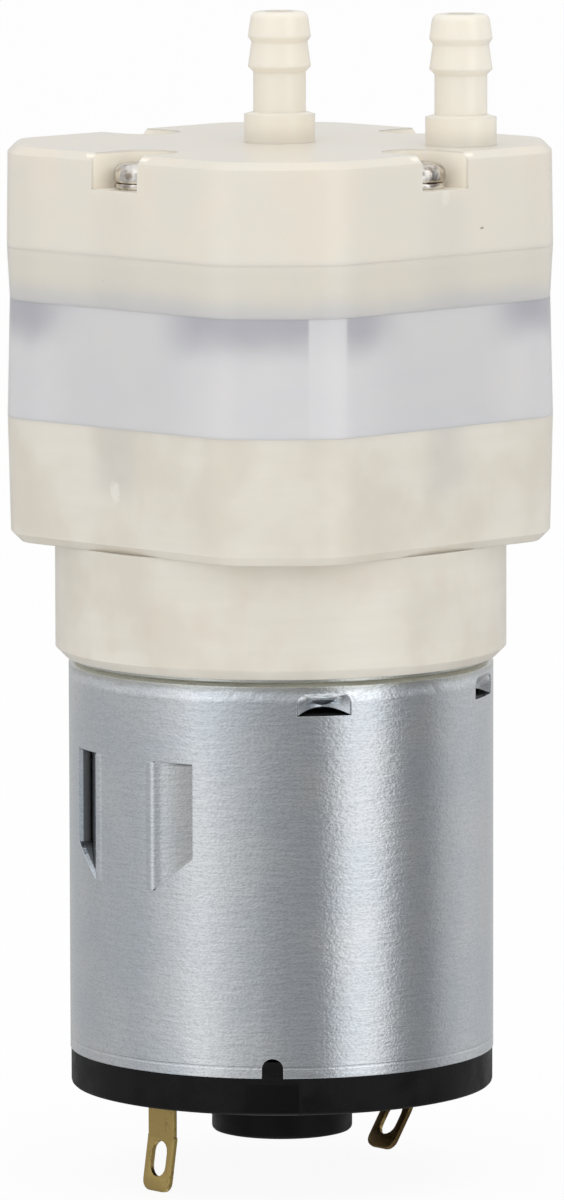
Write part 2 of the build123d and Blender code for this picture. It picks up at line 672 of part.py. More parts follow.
def motor_can():
    """Deep-drawn steel can, narrower where the cup grips it, with its boss, magnet stops and holes."""
    can = turned(
        (0, 0),
        (CAN_RADIUS, 0),
        (CAN_RADIUS, SHOULDER_BOTTOM),
        (NECK_RADIUS, SHOULDER_TOP),
        (NECK_RADIUS, CAN_LENGTH),
        (0, CAN_LENGTH),
    )
    can = fillet(top_edges(can), CAN_EDGE)
    can += cylinder(CAN_BOSS_RADIUS, CAN_INNER_TOP, CAN_BOSS_TOP)
    can -= cylinder(CAN_RADIUS - CAN_WALL, 0, CAN_INNER_TOP)
    can -= cylinder(BEARING_RADIUS, CAN_INNER_TOP, CAN_BOSS_TOP - CAN_BOSS_LIP)
    can -= cylinder(SHAFT_RADIUS + CAN_BOSS_LIP, CAN_INNER_TOP, CAN_BOSS_TOP)
    for side in (-1, 1):
        window, tab = lance(side)
        can = can - window + tab
        for middle in (LEFT_SIDE, RIGHT_SIDE):
            bump, cut = louvre(middle + side * LOUVRE_ANGLE)
            can = can + bump - cut
    can -= notch(0)
    can = MOTOR * can
    return can - motor_screw_places() * cylinder(SCREW_RADIUS + SNUG, CAN_INNER_TOP, CAN_LENGTH)


def magnet(middle):
    """Curved ferrite magnet, centred on the given azimuth about the motor's own X axis."""
    top = LOUVRE_BOTTOM - SNUG
    arc = (Circle(MAGNET_OUTER) - Circle(MAGNET_INNER)) & sector(MAGNET_OUTER, MAGNET_HALF_ANGLE)
    return MOTOR * Rot(0, 0, middle) * prism(arc, MAGNET_BOTTOM, top)


def magnet_spring():
    """U of spring wire whose legs push the two magnets against the lances."""
    leg_radius = CAN_RADIUS - CAN_WALL - SPRING_WIRE / 2 - SNUG
    lag = degrees(asin((SPRING_WIRE / 2 + SNUG) / leg_radius))
    angle = radians(90 - MAGNET_HALF_ANGLE - lag)
    x, y = leg_radius * cos(angle), leg_radius * sin(angle)
    corners = [(x, y, SPRING_TOP), (x, y, SPRING_BOTTOM), (x, -y, SPRING_BOTTOM), (x, -y, SPRING_TOP)]
    path = FilletPolyline(*corners, radius=SPRING_BEND)
    start = Plane(origin=path @ 0, z_dir=path % 0)
    return MOTOR * sweep(start * Circle(SPRING_WIRE / 2), path=path)


def bearing(bottom):
    """Sintered bronze bush."""
    return tube(BEARING_RADIUS - SNUG, SHAFT_RADIUS + RUNNING, bottom, bottom + BEARING_LENGTH)


def motor_shaft():
    """Ground steel shaft from the rear bush to the crank hub."""
    shaft = cylinder(SHAFT_RADIUS, CAP_BOSS_BOTTOM + SHAFT_RECESS, SHAFT_END)
    return chamfer(top_edges(shaft), SHAFT_RADIUS / 5)


def armature_core():
    """Stack of steel laminations with three poles."""
    shoe = (Circle(CORE_RADIUS) - Circle(SHOE_INNER)) & sector(CORE_RADIUS, SHOE_HALF_ANGLE)
    pole = shoe + Pos(SHOE_INNER / 2, 0) * Rectangle(SHOE_INNER + SHOE_THICKNESS / 2, NECK_WIDTH)
    section = Circle(CORE_HUB_RADIUS) + PolarLocations(0, POLES) * pole
    section -= Circle(SHAFT_RADIUS + SNUG)
    return prism(section, CORE_BOTTOM, CORE_TOP)


def windings():
    """One coil of wire about each pole's neck."""
    middle = (CORE_BOTTOM + CORE_TOP) / 2
    length = SHOE_INNER - COIL_INNER
    place = Pos((SHOE_INNER + COIL_INNER) / 2, 0, middle)
    coil = Box(length, COIL_WIDTH, CORE_LENGTH + 2 * COIL_OVERHANG)
    coil = fillet(coil.edges().filter_by(Axis.X), COIL_ROUND)
    coil = place * (coil - Box(length, NECK_WIDTH + 2 * SNUG, CORE_LENGTH + 2 * SNUG))
    coil &= cylinder(SHOE_INNER - SNUG, CORE_BOTTOM - COIL_OVERHANG, CORE_TOP + COIL_OVERHANG)
    return PolarLocations(0, POLES) * coil


def commutator_hub():
    """Plastic sleeve that carries the copper segments and spaces the core from the rear washer."""
    bottom = REAR_BEARING_TOP + WASHER_THICKNESS + 2 * END_PLAY
    return tube(COMMUTATOR_RADIUS - COMMUTATOR_WALL, SHAFT_RADIUS + SNUG, bottom, CORE_BOTTOM)


def commutator_segments():
    """Three copper segments, each with a riser for its wire."""
    shell = Circle(COMMUTATOR_RADIUS) - Circle(COMMUTATOR_RADIUS - COMMUTATOR_WALL + SNUG)
    half_angle = 180 / POLES - degrees(COMMUTATOR_GAP / COMMUTATOR_RADIUS / 2)
    segment = prism(shell & sector(COMMUTATOR_RADIUS, half_angle), COMMUTATOR_BOTTOM, COMMUTATOR_TOP)
    riser = Pos(COMMUTATOR_RADIUS, 0) * Rectangle(2 * RISER_REACH, NECK_WIDTH / 2)
    riser -= Circle(COMMUTATOR_RADIUS - COMMUTATOR_WALL / 2)
    segment += prism(riser, COMMUTATOR_TOP - RISER_THICKNESS, COMMUTATOR_TOP)
    return PolarLocations(0, POLES) * segment


def rotor_spacer():
    """Plastic sleeve between the core and the front washer."""
    top = FRONT_BEARING_BOTTOM - WASHER_THICKNESS - 2 * END_PLAY
    return tube(SPACER_RADIUS, SHAFT_RADIUS + SNUG, CORE_TOP, top)


def thrust_washer(bottom):
    return tube(WASHER_RADIUS, SHAFT_RADIUS + SNUG, bottom, bottom + WASHER_THICKNESS)


def end_cap():
    """Black moulding that closes the can and holds the rear bush, the brushes and the terminals."""
    rim = cylinder(CAP_RADIUS, -CAP_HEIGHT, 0)
    rim = chamfer(bottom_edges(rim), CAP_EDGE)
    cap = rim + cylinder(CAN_RADIUS - CAN_WALL - SNUG, -CAP_HEIGHT / 2, CAP_PLUG_HEIGHT)
    cap -= cylinder(CAN_RADIUS - CAN_WALL - CAP_PLUG_WALL, CAP_FLOOR_TOP, CAP_PLUG_HEIGHT)
    cap += cylinder(CAP_BOSS_RADIUS, CAP_BOSS_BOTTOM, -CAP_FLOOR)
    cap -= cylinder(BEARING_RADIUS, REAR_BEARING_BOTTOM, CAP_FLOOR_TOP)
    cap -= cylinder(CAP_SHAFT_HOLE, CAP_BOSS_BOTTOM, REAR_BEARING_BOTTOM)
    cap += notch(SNUG) & cylinder(CAN_RADIUS - SNUG, 0, NOTCH_HEIGHT - SNUG)
    slot = Box(TERMINAL_THICKNESS + 2 * SNUG, TERMINAL_WIDTH + 2 * SNUG, 3 * CAP_HEIGHT)
    return MOTOR * (cap - PolarLocations(TERMINAL_RADIUS, 2) * slot)


def terminal(facing, bend, bend_drop):
    """Brass solder tab through the cap, with its eyelet end bent outwards by the given angle."""
    bend_z = -CAP_HEIGHT - bend_drop
    blade_length = (TERMINAL_DROP - bend_drop) / cos(radians(bend))
    neck_width = TERMINAL_WIDTH - 2 * TERMINAL_NECK
    half = TERMINAL_THICKNESS / 2
    neck = Pos(0, 0, bend_z) * Box(TERMINAL_THICKNESS, neck_width, TERMINAL_TOP - bend_z, align=UPRIGHT)
    knuckle = Pos(0, 0, bend_z) * Rot(90, 0, 0) * Cylinder(half, neck_width)
    outline = Pos(0, -blade_length / 2) * Rectangle(TERMINAL_WIDTH, blade_length)
    outline = fillet(outline.vertices().group_by(Axis.Y)[0], TERMINAL_CORNER)
    eyelet_middle = -blade_length + EYELET_MARGIN + EYELET_LENGTH / 2
    outline -= Pos(0, eyelet_middle) * Rot(0, 0, 90) * SlotOverall(EYELET_LENGTH, EYELET_WIDTH)
    blade = extrude(Plane.YZ * outline, half, both=True)
    tab = neck + knuckle + Pos(0, 0, bend_z) * Rot(0, -bend, 0) * blade
    return MOTOR * Rot(0, 0, facing) * Pos(TERMINAL_RADIUS, 0, 0) * tab


def brush_arm(facing):
    """Leaf spring from the terminal to the back of the brush."""
    root = TERMINAL_RADIUS - TERMINAL_THICKNESS / 2 - SNUG
    leaf_inside = COMMUTATOR_RADIUS + RUNNING + BRUSH_LENGTH + SNUG
    leaf_outside = leaf_inside + ARM_THICKNESS
    foot = -TERMINAL_WIDTH / 2
    end = -BRUSH_WIDTH / 2 - ARM_OVERRUN
    outline = make_face(
        Polyline(
            (root, foot),
            (root, leaf_outside),
            (end, leaf_outside),
            (end, leaf_inside),
            (root - ARM_THICKNESS, leaf_inside),
            (root - ARM_THICKNESS, foot),
            close=True,
        )
    )
    arm = prism(outline, ARM_BOTTOM, ARM_BOTTOM + ARM_HEIGHT)
    corner = (root, leaf_outside, ARM_BOTTOM + ARM_HEIGHT / 2)
    bend = arm.edges().filter_by(Axis.Z).sort_by_distance(corner)[0]
    return MOTOR * Rot(0, 0, facing) * fillet(bend, ARM_THICKNESS)


def brush(facing):
    """Carbon brush with its end worn to the commutator's curve."""
    far = COMMUTATOR_RADIUS + RUNNING + BRUSH_LENGTH
    block = Box(BRUSH_WIDTH, far, BRUSH_HEIGHT, align=(Align.CENTER, Align.MIN, Align.CENTER))
    block = Pos(0, 0, ARM_BOTTOM + ARM_HEIGHT / 2) * block
    return MOTOR * Rot(0, 0, facing) * (block - cylinder(COMMUTATOR_RADIUS + RUNNING, 0, COMMUTATOR_TOP))


front_washer_bottom = FRONT_BEARING_BOTTOM - WASHER_THICKNESS - END_PLAY
rear_washer_bottom = REAR_BEARING_TOP + END_PLAY

nodes = {
    "top_cover": top_cover(),
    "cover_gasket": cover_gasket(),
    "outlet_valve": outlet_valve(),
    "valve_plate": valve_plate(),
    "diaphragm": diaphragm(),
    "chamber_body": chamber_body(),
    "base_housing": base_housing(),
    "head_screws": head_screws(),
    "head_washers": head_washers(),
    "motor_screws": motor_screws(),
    "wobble_plate": wobble_plate(),
    "crank_pin": crank_pin(),
    "thrust_ball": thrust_ball(),
    "crank_hub": crank_hub(),
    "motor_can": motor_can(),
    "magnet_left": magnet(LEFT_SIDE),
    "magnet_right": magnet(RIGHT_SIDE),
    "magnet_spring": magnet_spring(),
    "front_bearing": bearing(FRONT_BEARING_BOTTOM),
    "rear_bearing": bearing(REAR_BEARING_BOTTOM),
    "motor_shaft": motor_shaft(),
    "armature_core": armature_core(),
    "windings": windings(),
    "commutator_hub": commutator_hub(),
    "commutator_segments": commutator_segments(),
    "rotor_spacer": rotor_spacer(),
    "front_thrust_washer": thrust_washer(front_washer_bottom),
    "rear_thrust_washer": thrust_washer(rear_washer_bottom),
    "end_cap": end_cap(),
    "terminal_front": terminal(FRONT_SIDE, FRONT_BEND, FRONT_BEND_DROP),
    "terminal_rear": terminal(REAR_SIDE, REAR_BEND, REAR_BEND_DROP),
    "brush_arm_front": brush_arm(FRONT_SIDE),
    "brush_arm_rear": brush_arm(REAR_SIDE),
    "brush_front": brush(FRONT_SIDE),
    "brush_rear": brush(REAR_SIDE),
}
for side, turn in {"right": 0, "rear": 90, "left": 180, "front": 270}.items():
    nodes["inlet_valve_" + side] = Rot(0, 0, turn) * Pos(INLET_CIRCLE, 0, 0) * inlet_valve()

os.makedirs("parts", exist_ok=True)
for name, shape in nodes.items():
    if isinstance(shape, list):
        shape = Compound(children=shape)
    export_step(shape, f"parts/{name}.step")
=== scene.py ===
"""Diaphragm vacuum pump: finishes, fasteners and a plain studio, as add-on style operators."""
from math import copysign, cos, pi, radians, sin, sqrt, tau

import bmesh
import bpy
from bpy.props import FloatProperty, FloatVectorProperty, PointerProperty
from bpy.types import Operator, Panel, PropertyGroup
from mathutils import Matrix, Vector


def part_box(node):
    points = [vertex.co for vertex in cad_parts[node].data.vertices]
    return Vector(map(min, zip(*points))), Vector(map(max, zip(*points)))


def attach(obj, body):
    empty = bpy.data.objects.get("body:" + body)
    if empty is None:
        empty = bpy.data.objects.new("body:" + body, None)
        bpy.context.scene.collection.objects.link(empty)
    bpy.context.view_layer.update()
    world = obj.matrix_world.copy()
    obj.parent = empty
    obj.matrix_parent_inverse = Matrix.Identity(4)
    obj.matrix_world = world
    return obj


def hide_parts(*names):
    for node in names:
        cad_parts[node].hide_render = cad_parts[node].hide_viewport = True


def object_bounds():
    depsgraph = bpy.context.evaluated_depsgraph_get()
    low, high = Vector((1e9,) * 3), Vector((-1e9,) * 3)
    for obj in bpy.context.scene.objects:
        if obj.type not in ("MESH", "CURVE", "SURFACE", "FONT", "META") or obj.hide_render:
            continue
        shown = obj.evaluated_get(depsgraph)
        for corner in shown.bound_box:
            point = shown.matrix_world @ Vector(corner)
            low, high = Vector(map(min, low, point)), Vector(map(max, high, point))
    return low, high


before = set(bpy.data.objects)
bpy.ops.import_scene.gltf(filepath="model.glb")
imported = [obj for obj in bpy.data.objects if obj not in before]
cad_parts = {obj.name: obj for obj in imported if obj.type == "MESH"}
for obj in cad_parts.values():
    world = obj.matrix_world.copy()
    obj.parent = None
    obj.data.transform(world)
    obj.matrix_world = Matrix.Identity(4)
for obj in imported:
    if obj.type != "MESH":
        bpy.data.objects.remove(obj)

bl_info = {
    "name": "Diaphragm Vacuum Pump",
    "version": (1, 0, 0),
    "blender": (4, 5, 0),
    "location": "View3D > Sidebar > Pump",
    "description": "Dresses the pump's parts in their finishes and sets up a plain studio",
    "category": "Object",
}

CAD_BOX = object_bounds()
MM = 0.001


def edge_heights(node):
    """Lowest and highest point of a node, in millimetres."""
    low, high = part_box(node)
    return low.z / MM, high.z / MM


BASE_BOTTOM, BASE_TOP = edge_heights("base_housing")
CHAMBER_BOTTOM, CHAMBER_TOP = edge_heights("chamber_body")
PLATE_TOP = edge_heights("valve_plate")[1]
COVER_TOP = 52.15
SCREW_TIP, SCREW_TOP = edge_heights("head_screws")
CAN_BOTTOM = edge_heights("motor_can")[0]
CAN_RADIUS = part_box("motor_can")[1].x / MM
WASHER_BOTTOM, WASHER_TOP = edge_heights("head_washers")
WASHER_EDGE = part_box("head_washers")[1].x / MM
SCREW_HEAD = 1.75
SCREW_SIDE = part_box("head_screws")[1].x / MM - SCREW_HEAD
CAP_BOTTOM = edge_heights("end_cap")[0]
BEARING_BOTTOM = edge_heights("rear_bearing")[0]
BEARING_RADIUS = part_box("rear_bearing")[1].x / MM
MOTOR_TURN = radians(42.1)
NOTCH_TURN = radians(267.5)
FLAT_SIDE = 9.25
LOBE_RADIUS = 7.36
POCKET_FLOOR = WASHER_BOTTOM
COVER_MARK = (FLAT_SIDE, -FLAT_SIDE, 49.7)
COVER_FLECKS = ((-9.25, -9.25, 46.4), (-5.2, -14.45, 46.55), (11.4, -7.3, 47.8), (6.8, -13.3, 51.9))
BASE_MARK = (-FLAT_SIDE, -FLAT_SIDE, 33.1)
LANCE_TOP, LANCE_FOOT, LANCE_TIP = 17.75, 12.45, 10.45
LOUVRE_TURN = radians(30.5)


def calculation(operation):
    """Method that adds the node of an operation."""
    return lambda self, *others: self.calculate(operation, self, *others)


class Signal:
    """An output of a material's nodes. Arithmetic on it adds Math or Vector Math nodes."""

    def __init__(self, finish, socket):
        self.finish = finish
        self.socket = socket

    def calculate(self, operation, *values):
        kind = "Math"
        if self.socket.type == "VECTOR":
            kind = "VectorMath"
            values = [(v, v, v) if isinstance(v, (int, float)) else v for v in values]
        return self.finish.node(kind, {"operation": operation}, dict(enumerate(values)))

    def __rsub__(self, other):
        return self.calculate("SUBTRACT", other, self)

    __add__ = __radd__ = calculation("ADD")
    __sub__ = calculation("SUBTRACT")
    __mul__ = __rmul__ = calculation("MULTIPLY")
    __truediv__ = calculation("DIVIDE")
    __pow__ = calculation("POWER")
    __abs__ = calculation("ABSOLUTE")
    cosine = calculation("COSINE")
    sine = calculation("SINE")


class Nodes:
    """A tree of shader nodes, with short ways to add to it."""

    def __init__(self, tree):
        self.tree = tree

    def node(self, kind, settings=None, sockets=None, output=0):
        """Adds a node: its settings first, then its sockets' values or links."""
        made = self.tree.nodes.new("ShaderNode" + kind)
        for setting, value in (settings or {}).items():
            if setting == "stops":
                self.set_stops(made.color_ramp, value)
            else:
                setattr(made, setting, value)
        for socket, value in (sockets or {}).items():
            if isinstance(value, Signal):
                self.tree.links.new(value.socket, made.inputs[socket])
            else:
                made.inputs[socket].default_value = value
        return Signal(self, made.outputs[output])

    @staticmethod
    def set_stops(ramp, stops):
        while len(ramp.elements) < len(stops):
            ramp.elements.new(1.0)
        for element, (place, level) in zip(ramp.elements, stops):
            element.position = place
            element.color = (level, level, level, 1)

    def parts(self, vector):
        """The three numbers of a vector."""
        return [self.node("SeparateXYZ", sockets={0: vector}, output=i) for i in range(3)]

    def angle(self, across, along):
        """Angle in radians whose tangent is across over along."""
        return self.node("Math", {"operation": "ARCTAN2"}, {0: across, 1: along})

    def step(self, signal, low, high):
        """Smooth step from 0 below low to 1 above high, or down where low is the larger."""
        settings = {"interpolation_type": "SMOOTHSTEP"}
        return self.node("MapRange", settings, {0: signal, 1: low, 2: high, 3: 0.0, 4: 1.0})

    def band(self, signal, middle, half_width, soft):
        """1 within half a width of the middle, with soft sides."""
        return self.step(abs(signal - middle), half_width + soft, half_width)

    def mix(self, mask, first, second):
        """Colour that goes from the first to the second with the mask."""
        colours = [c if isinstance(c, Signal) else (*c, 1) for c in (first, second)]
        sockets = {0: mask, 6: colours[0], 7: colours[1]}
        return self.node("Mix", {"data_type": "RGBA", "clamp_factor": True}, sockets, output=2)

    def blend(self, mask, first, second):
        """Vector that goes from the first to the second with the mask."""
        sockets = {0: mask, 4: first, 5: second}
        return self.node("Mix", {"data_type": "VECTOR", "clamp_factor": True}, sockets, output=1)


class Finish(Nodes):
    """A material on the Principled shader, built from one point in millimetres."""

    def __init__(self, name, **constants):
        self.material = bpy.data.materials.new(name)
        self.material.use_nodes = True
        super().__init__(self.material.node_tree)
        self.shader = self.tree.nodes["Principled BSDF"]
        for socket, value in constants.items():
            self.feed(socket.replace("_", " "), value)
        self.point = self.node("TexCoord", output="Object") * (1 / MM)
        self.x, self.y, self.z = self.parts(self.point)
        self.radius = (self.x * self.x + self.y * self.y) ** 0.5
        self.azimuth = self.angle(self.y, self.x)

    def feed(self, socket, value):
        """Sets one of the shader's sockets, or links a signal to it."""
        target = self.shader.inputs[socket]
        if isinstance(value, Signal):
            self.tree.links.new(value.socket, target)
        elif target.type == "RGBA":
            target.default_value = (*value, 1)
        else:
            target.default_value = value

    def above(self, low, high):
        """Smooth step with the height, up from low to high, or down where low is the larger."""
        return self.step(self.z, low, high)

    def noise(self, size, detail=2.0, stretch=(1, 1, 1), seed=0.0):
        """Noise from 0 to 1 whose spots are about the given size in millimetres."""
        place = self.point * stretch + (seed, seed / 2, -seed)
        sockets = {"Vector": place, "Scale": 1 / size, "Detail": detail}
        return self.node("TexNoise", sockets=sockets)

    def spot(self, place, size, stretch=(1, 1, 1)):
        """Ragged spot of the given size about a place, 1 inside and 0 outside."""
        away = (self.point - place) * stretch
        distance = self.node("VectorMath", {"operation": "LENGTH"}, {0: away}, output=1)
        ragged = self.noise(size * 0.7, detail=3.0, seed=4.0) * size
        return self.step(distance + ragged, size * 1.3, size)

    def specks(self, spacing, size, share, seed=0.0):
        """Sparse dots: one in each Voronoi cell, kept in the given share of the cells."""
        place = self.point + (seed, seed, seed)
        sockets = {"Vector": place, "Scale": 1 / spacing}
        distance = self.node("TexVoronoi", sockets=sockets)
        cell = self.node("TexVoronoi", sockets=sockets, output=1)
        lot = self.node("SeparateXYZ", sockets={0: cell})
        dot = self.step(distance, size / spacing, size / spacing / 2)
        return dot * self.step(lot, share, share * 0.9)

    def bump(self, height, depth, normal=None):
        """Normal of a surface raised by the height signal times a depth in millimetres."""
        sockets = {"Height": height, "Distance": depth * MM}
        if normal:
            sockets["Normal"] = normal
        return self.node("Bump", sockets=sockets)

    def stain(self, mask, colour):
        """Mixes a colour into the tone with the mask."""
        self.tone = self.mix(mask, self.tone, colour)

    def soft_edges(self, width):
        """Normal that rounds the edges off by the given width in millimetres."""
        return self.node("Bevel", {"samples": 4}, {"Radius": width * MM})

    def surface(self, colour, roughness, relief, depth, edge=None):
        """Feeds the colour, the roughness, and the relief over edges of the given softness."""
        self.feed("Base Color", colour)
        self.feed("Roughness", roughness)
        self.feed("Normal", self.bump(relief, depth, edge and self.soft_edges(edge)))
        return self

    def dress(self, *names):
        """Puts the finish on the CAD nodes of the given names."""
        for name in names:
            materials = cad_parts[name].data.materials
            materials.clear()
            materials.append(self.material)


# Finishes of the pump head


def about_screws(skin, outer, inner):
    """1 within the inner distance of a head screw's axis, 0 beyond the outer one."""
    across = abs(skin.x) - SCREW_SIDE
    along = abs(skin.y) - SCREW_SIDE
    return skin.step((across * across + along * along) ** 0.5, outer, inner)


def round_lobes(skin, shape):
    """Normal of walls with full round lobes, and where the outer walls are that take it."""
    half_core = FLAT_SIDE * sqrt(2) - LOBE_RADIUS
    turned = ((skin.x + skin.y) * sqrt(0.5), (skin.y - skin.x) * sqrt(0.5))
    held = [skin.node("Clamp", sockets={0: value, 1: -half_core, 2: half_core}) for value in turned]
    across, along = (value - limit for value, limit in zip(turned, held))
    reach = (across * across + along * along) ** 0.5
    sockets = {0: (across - along) / reach, 1: (across + along) / reach}
    outward = skin.node("CombineXYZ", sockets=sockets)
    normal = skin.node("VectorMath", {"operation": "NORMALIZE"}, {0: outward})
    alike = skin.node("VectorMath", {"operation": "DOT_PRODUCT"}, {0: shape, 1: normal}, output=1)
    outer_wall = skin.step(reach, LOBE_RADIUS - 0.45, LOBE_RADIUS - 0.25)
    return normal, outer_wall * skin.step(alike, 0.7, 0.88)


def moulded_nylon(name, colour, warm, cool, seams):
    """Milky nylon: blotches, faint flow lines, a few specks, and rounded edges away from its seams."""
    skin = Finish(name, IOR=1.5, Specular_IOR_Level=0.75, Coat_Weight=0.35, Coat_Roughness=0.13)
    skin.feed("Subsurface Weight", 0.3)
    skin.feed("Subsurface Scale", 0.0008)
    skin.feed("Subsurface Radius", (1.0, 0.9, 0.75))
    blotches = skin.noise(5.0, detail=3.0)
    skin.tone = skin.mix(skin.step(blotches, 0.38, 0.64), cool, warm)
    flow = skin.noise(2.2, detail=4.0, stretch=(0.25, 0.25, 3.0), seed=3.0)
    skin.stain(skin.step(flow, 0.35, 0.65) * 0.3, colour)
    skin.stain(skin.specks(3.4, 0.07, 0.1) * 0.6, (0.26, 0.22, 0.17))
    near_seam = 0.0
    for height in seams:
        near_seam = near_seam + skin.band(skin.z, height, 0.1, 0.25)
    shape = skin.node("NewGeometry", output="Normal")
    soft = skin.blend(near_seam, skin.soft_edges(0.22), shape)
    lobes, outer_wall = round_lobes(skin, shape)
    skin.edge_normal = skin.blend(outer_wall, soft, lobes)
    waves = skin.noise(3.5, detail=1.0, seed=8.0)
    grain = skin.noise(0.16, seed=5.0)
    skin.relief = waves * 0.7 + grain * 0.05
    skin.feed("Roughness", 0.27 + flow * 0.1 + blotches * 0.06)
    return skin


def complete_nylon(skin):
    """Feeds the tone and the relief of moulded nylon."""
    skin.feed("Base Color", skin.tone)
    skin.feed("Normal", skin.bump(skin.relief, 0.05, skin.edge_normal))
    return skin


def seam_line(skin, height, strength):
    """Thin broken line of shade where two mouldings meet."""
    broken = skin.step(skin.noise(1.8, detail=3.0, seed=12.0), 0.35, 0.6)
    return skin.band(skin.z, height, 0.01, 0.04) * (0.3 + broken * 0.7) * strength


def cover_nylon(colours):
    """Cover and valve plate: cream, greyer with painted shade above the diaphragm and under the screw
    heads, and lighter with painted light in the screw pockets and on the nozzle barbs above the cover.
    """
    creams = (colours.cream, colours.cream_warm, colours.cream_cool)
    skin = moulded_nylon("cover_nylon", *creams, (PLATE_TOP, CHAMBER_TOP))
    skin.stain(skin.above(PLATE_TOP + 0.3, PLATE_TOP - 0.6) * 0.6, colours.plate)
    # Painted shade: a grey-blue band just above the chamber's top stands for the dark rubber's shade
    # through the nylon.
    drift = skin.noise(4.0, seed=15.0) * 1.2
    below = skin.step(skin.z + drift, CHAMBER_TOP + 2.4, CHAMBER_TOP + 0.3)
    skin.stain(below * 0.7, colours.grey_blue)
    # Painted shade: the screws' shade through the nylon, greyer about their axes below the heads.
    shade = about_screws(skin, 3.6, 1.9) * skin.above(SCREW_TOP - 0.8, SCREW_TOP - 2.2)
    skin.stain(shade * 0.18, colours.painted_grey_shade)
    skin.stain(skin.spot(COVER_MARK, 0.5, (1.0, 1.0, 0.7)) * 0.3, colours.stress_mark)
    # Painted light: the screw pockets' walls are lightened and given a faint glow, though no lamp is there,
    # to stand for light through the thin nylon.
    depth = (abs(skin.x) + abs(skin.y)) / 2
    painted_pocket_light = skin.step(depth, FLAT_SIDE - 0.02, FLAT_SIDE - 0.1) * about_screws(skin, 3.4, 3.2)
    floor, mouth = (POCKET_FLOOR - 0.2, POCKET_FLOOR - 0.1), (COVER_TOP - 0.05, COVER_TOP - 0.15)
    painted_pocket_light = painted_pocket_light * skin.above(*floor) * skin.above(*mouth)
    skin.stain(painted_pocket_light * 0.85, colours.painted_through_light)
    skin.feed("Emission Color", skin.mix(painted_pocket_light, (0.0, 0.0, 0.0), colours.painted_through_light))
    skin.feed("Emission Strength", 0.06)
    # Painted light: the nozzle barbs above the cover are lightened as if lit through.
    painted_nozzle_light = skin.above(COVER_TOP + 0.2, COVER_TOP + 1.2)
    skin.stain(painted_nozzle_light * 0.65, colours.painted_through_light)
    for place in COVER_FLECKS:
        skin.stain(skin.spot(place, 0.1, (0.45, 0.45, 1.0)) * 0.7, (0.25, 0.18, 0.12))
    return complete_nylon(skin)


def chamber_nylon(colours):
    """Chamber body: bluish, with painted shade of the black rubber showing through near its top, a painted
    highlight band and painted shade on the diagonal flats.
    """
    seams = (CHAMBER_BOTTOM, CHAMBER_TOP)
    skin = moulded_nylon("chamber_nylon", colours.chamber, colours.chamber, colours.chamber_cool, seams)
    # Painted shade: the dark rubber behind the nylon darkens the lobes near the top, less under the painted
    # highlight band.
    lobes = skin.step((skin.azimuth * 4.0).cosine(), -0.75, 0.35)
    drift = skin.noise(4.0, seed=21.0) * 1.6
    depth = CHAMBER_TOP - skin.z + drift - 0.8
    rubber = lobes * skin.step(depth, 2.9, 0.5)
    # Painted highlight: a lighter vertical band just right of the middle stands for a softbox's reflection.
    painted_highlight_stripe = skin.step(skin.x, 1.5, 1.7) * skin.step(skin.x, 3.85, 3.6)
    skin.stain(rubber * (0.76 - painted_highlight_stripe * 0.5), colours.painted_rubber_shade)
    skin.stain(painted_highlight_stripe * 0.25, colours.painted_highlight_stripe)
    # Painted shade: the diagonal flats between the lobes are greyer.
    skin.stain((1 - lobes) * 0.22, colours.painted_grey_shade)
    skin.stain(seam_line(skin, CHAMBER_BOTTOM, 0.15), colours.seam)
    skin.stain(seam_line(skin, CHAMBER_TOP, 0.3), colours.seam)
    return complete_nylon(skin)


def base_nylon(colours):
    """Base housing: cream, with painted shade of the screws' ends through the corners."""
    skin = moulded_nylon("base_nylon", colours.base, colours.base_warm, colours.cream_cool, (BASE_TOP,))
    blush = skin.step(skin.noise(2.6, seed=17.0), 0.5, 0.72)
    blush = blush * skin.above(BASE_BOTTOM + 7.5, BASE_BOTTOM + 5.0)
    skin.stain(blush * 0.5, colours.blush)
    # Painted shade: the screws' ends show through the corners as grey.
    shade = about_screws(skin, 3.4, 2.2) * skin.above(SCREW_TIP - 0.4, SCREW_TIP + 1.4)
    skin.stain(shade * 0.4, colours.painted_grey_shade)
    skin.stain(skin.spot(BASE_MARK, 0.55, (1.0, 1.0, 0.6)) * 0.4, colours.stress_mark)
    return complete_nylon(skin)


def soft_rubber(name, colour):
    """Moulded rubber with a dry bloom."""
    skin = Finish(name, IOR=1.5)
    bloom = skin.noise(1.4, detail=4.0)
    pale = tuple(channel * 1.6 + 0.01 for channel in colour)
    tone = skin.mix(skin.step(bloom, 0.45, 0.75), colour, pale)
    return skin.surface(tone, 0.55 + bloom * 0.2, skin.noise(0.2, detail=3.0), 0.02, 0.12)


def acetal(colours):
    """White acetal of the wobble plate and the crank hub."""
    skin = Finish("acetal", IOR=1.48)
    cloud = skin.noise(2.0)
    rubbed = skin.mix(skin.step(cloud, 0.4, 0.7) * 0.5, colours.acetal, colours.cream_cool)
    return skin.surface(rubbed, 0.3 + cloud * 0.15, skin.noise(0.3), 0.01, 0.12)


# Finishes of the metals


def plated_steel(name, colour, roughness):
    """Nickel plating with fine polishing marks, and dark brown blotches that are painted dark reflections.
    """
    skin = Finish(name, Metallic=1.0)
    # Painted reflection: this noise sets dark brown blotches that stand for dark reflections on the
    # plating.
    stain = skin.noise(0.7, detail=3.0)
    dark = tuple(channel * share for channel, share in zip(colour, (0.4, 0.34, 0.28)))
    tone = skin.mix(skin.step(stain, 0.4, 0.62) * 0.85, colour, dark)
    marks = skin.noise(0.12, detail=3.0, stretch=(1, 1, 4))
    dents = skin.noise(0.6, detail=1.0, seed=27.0)
    return skin.surface(tone, roughness + marks * 0.1, marks * 0.06 + dents, 0.12, 0.06)


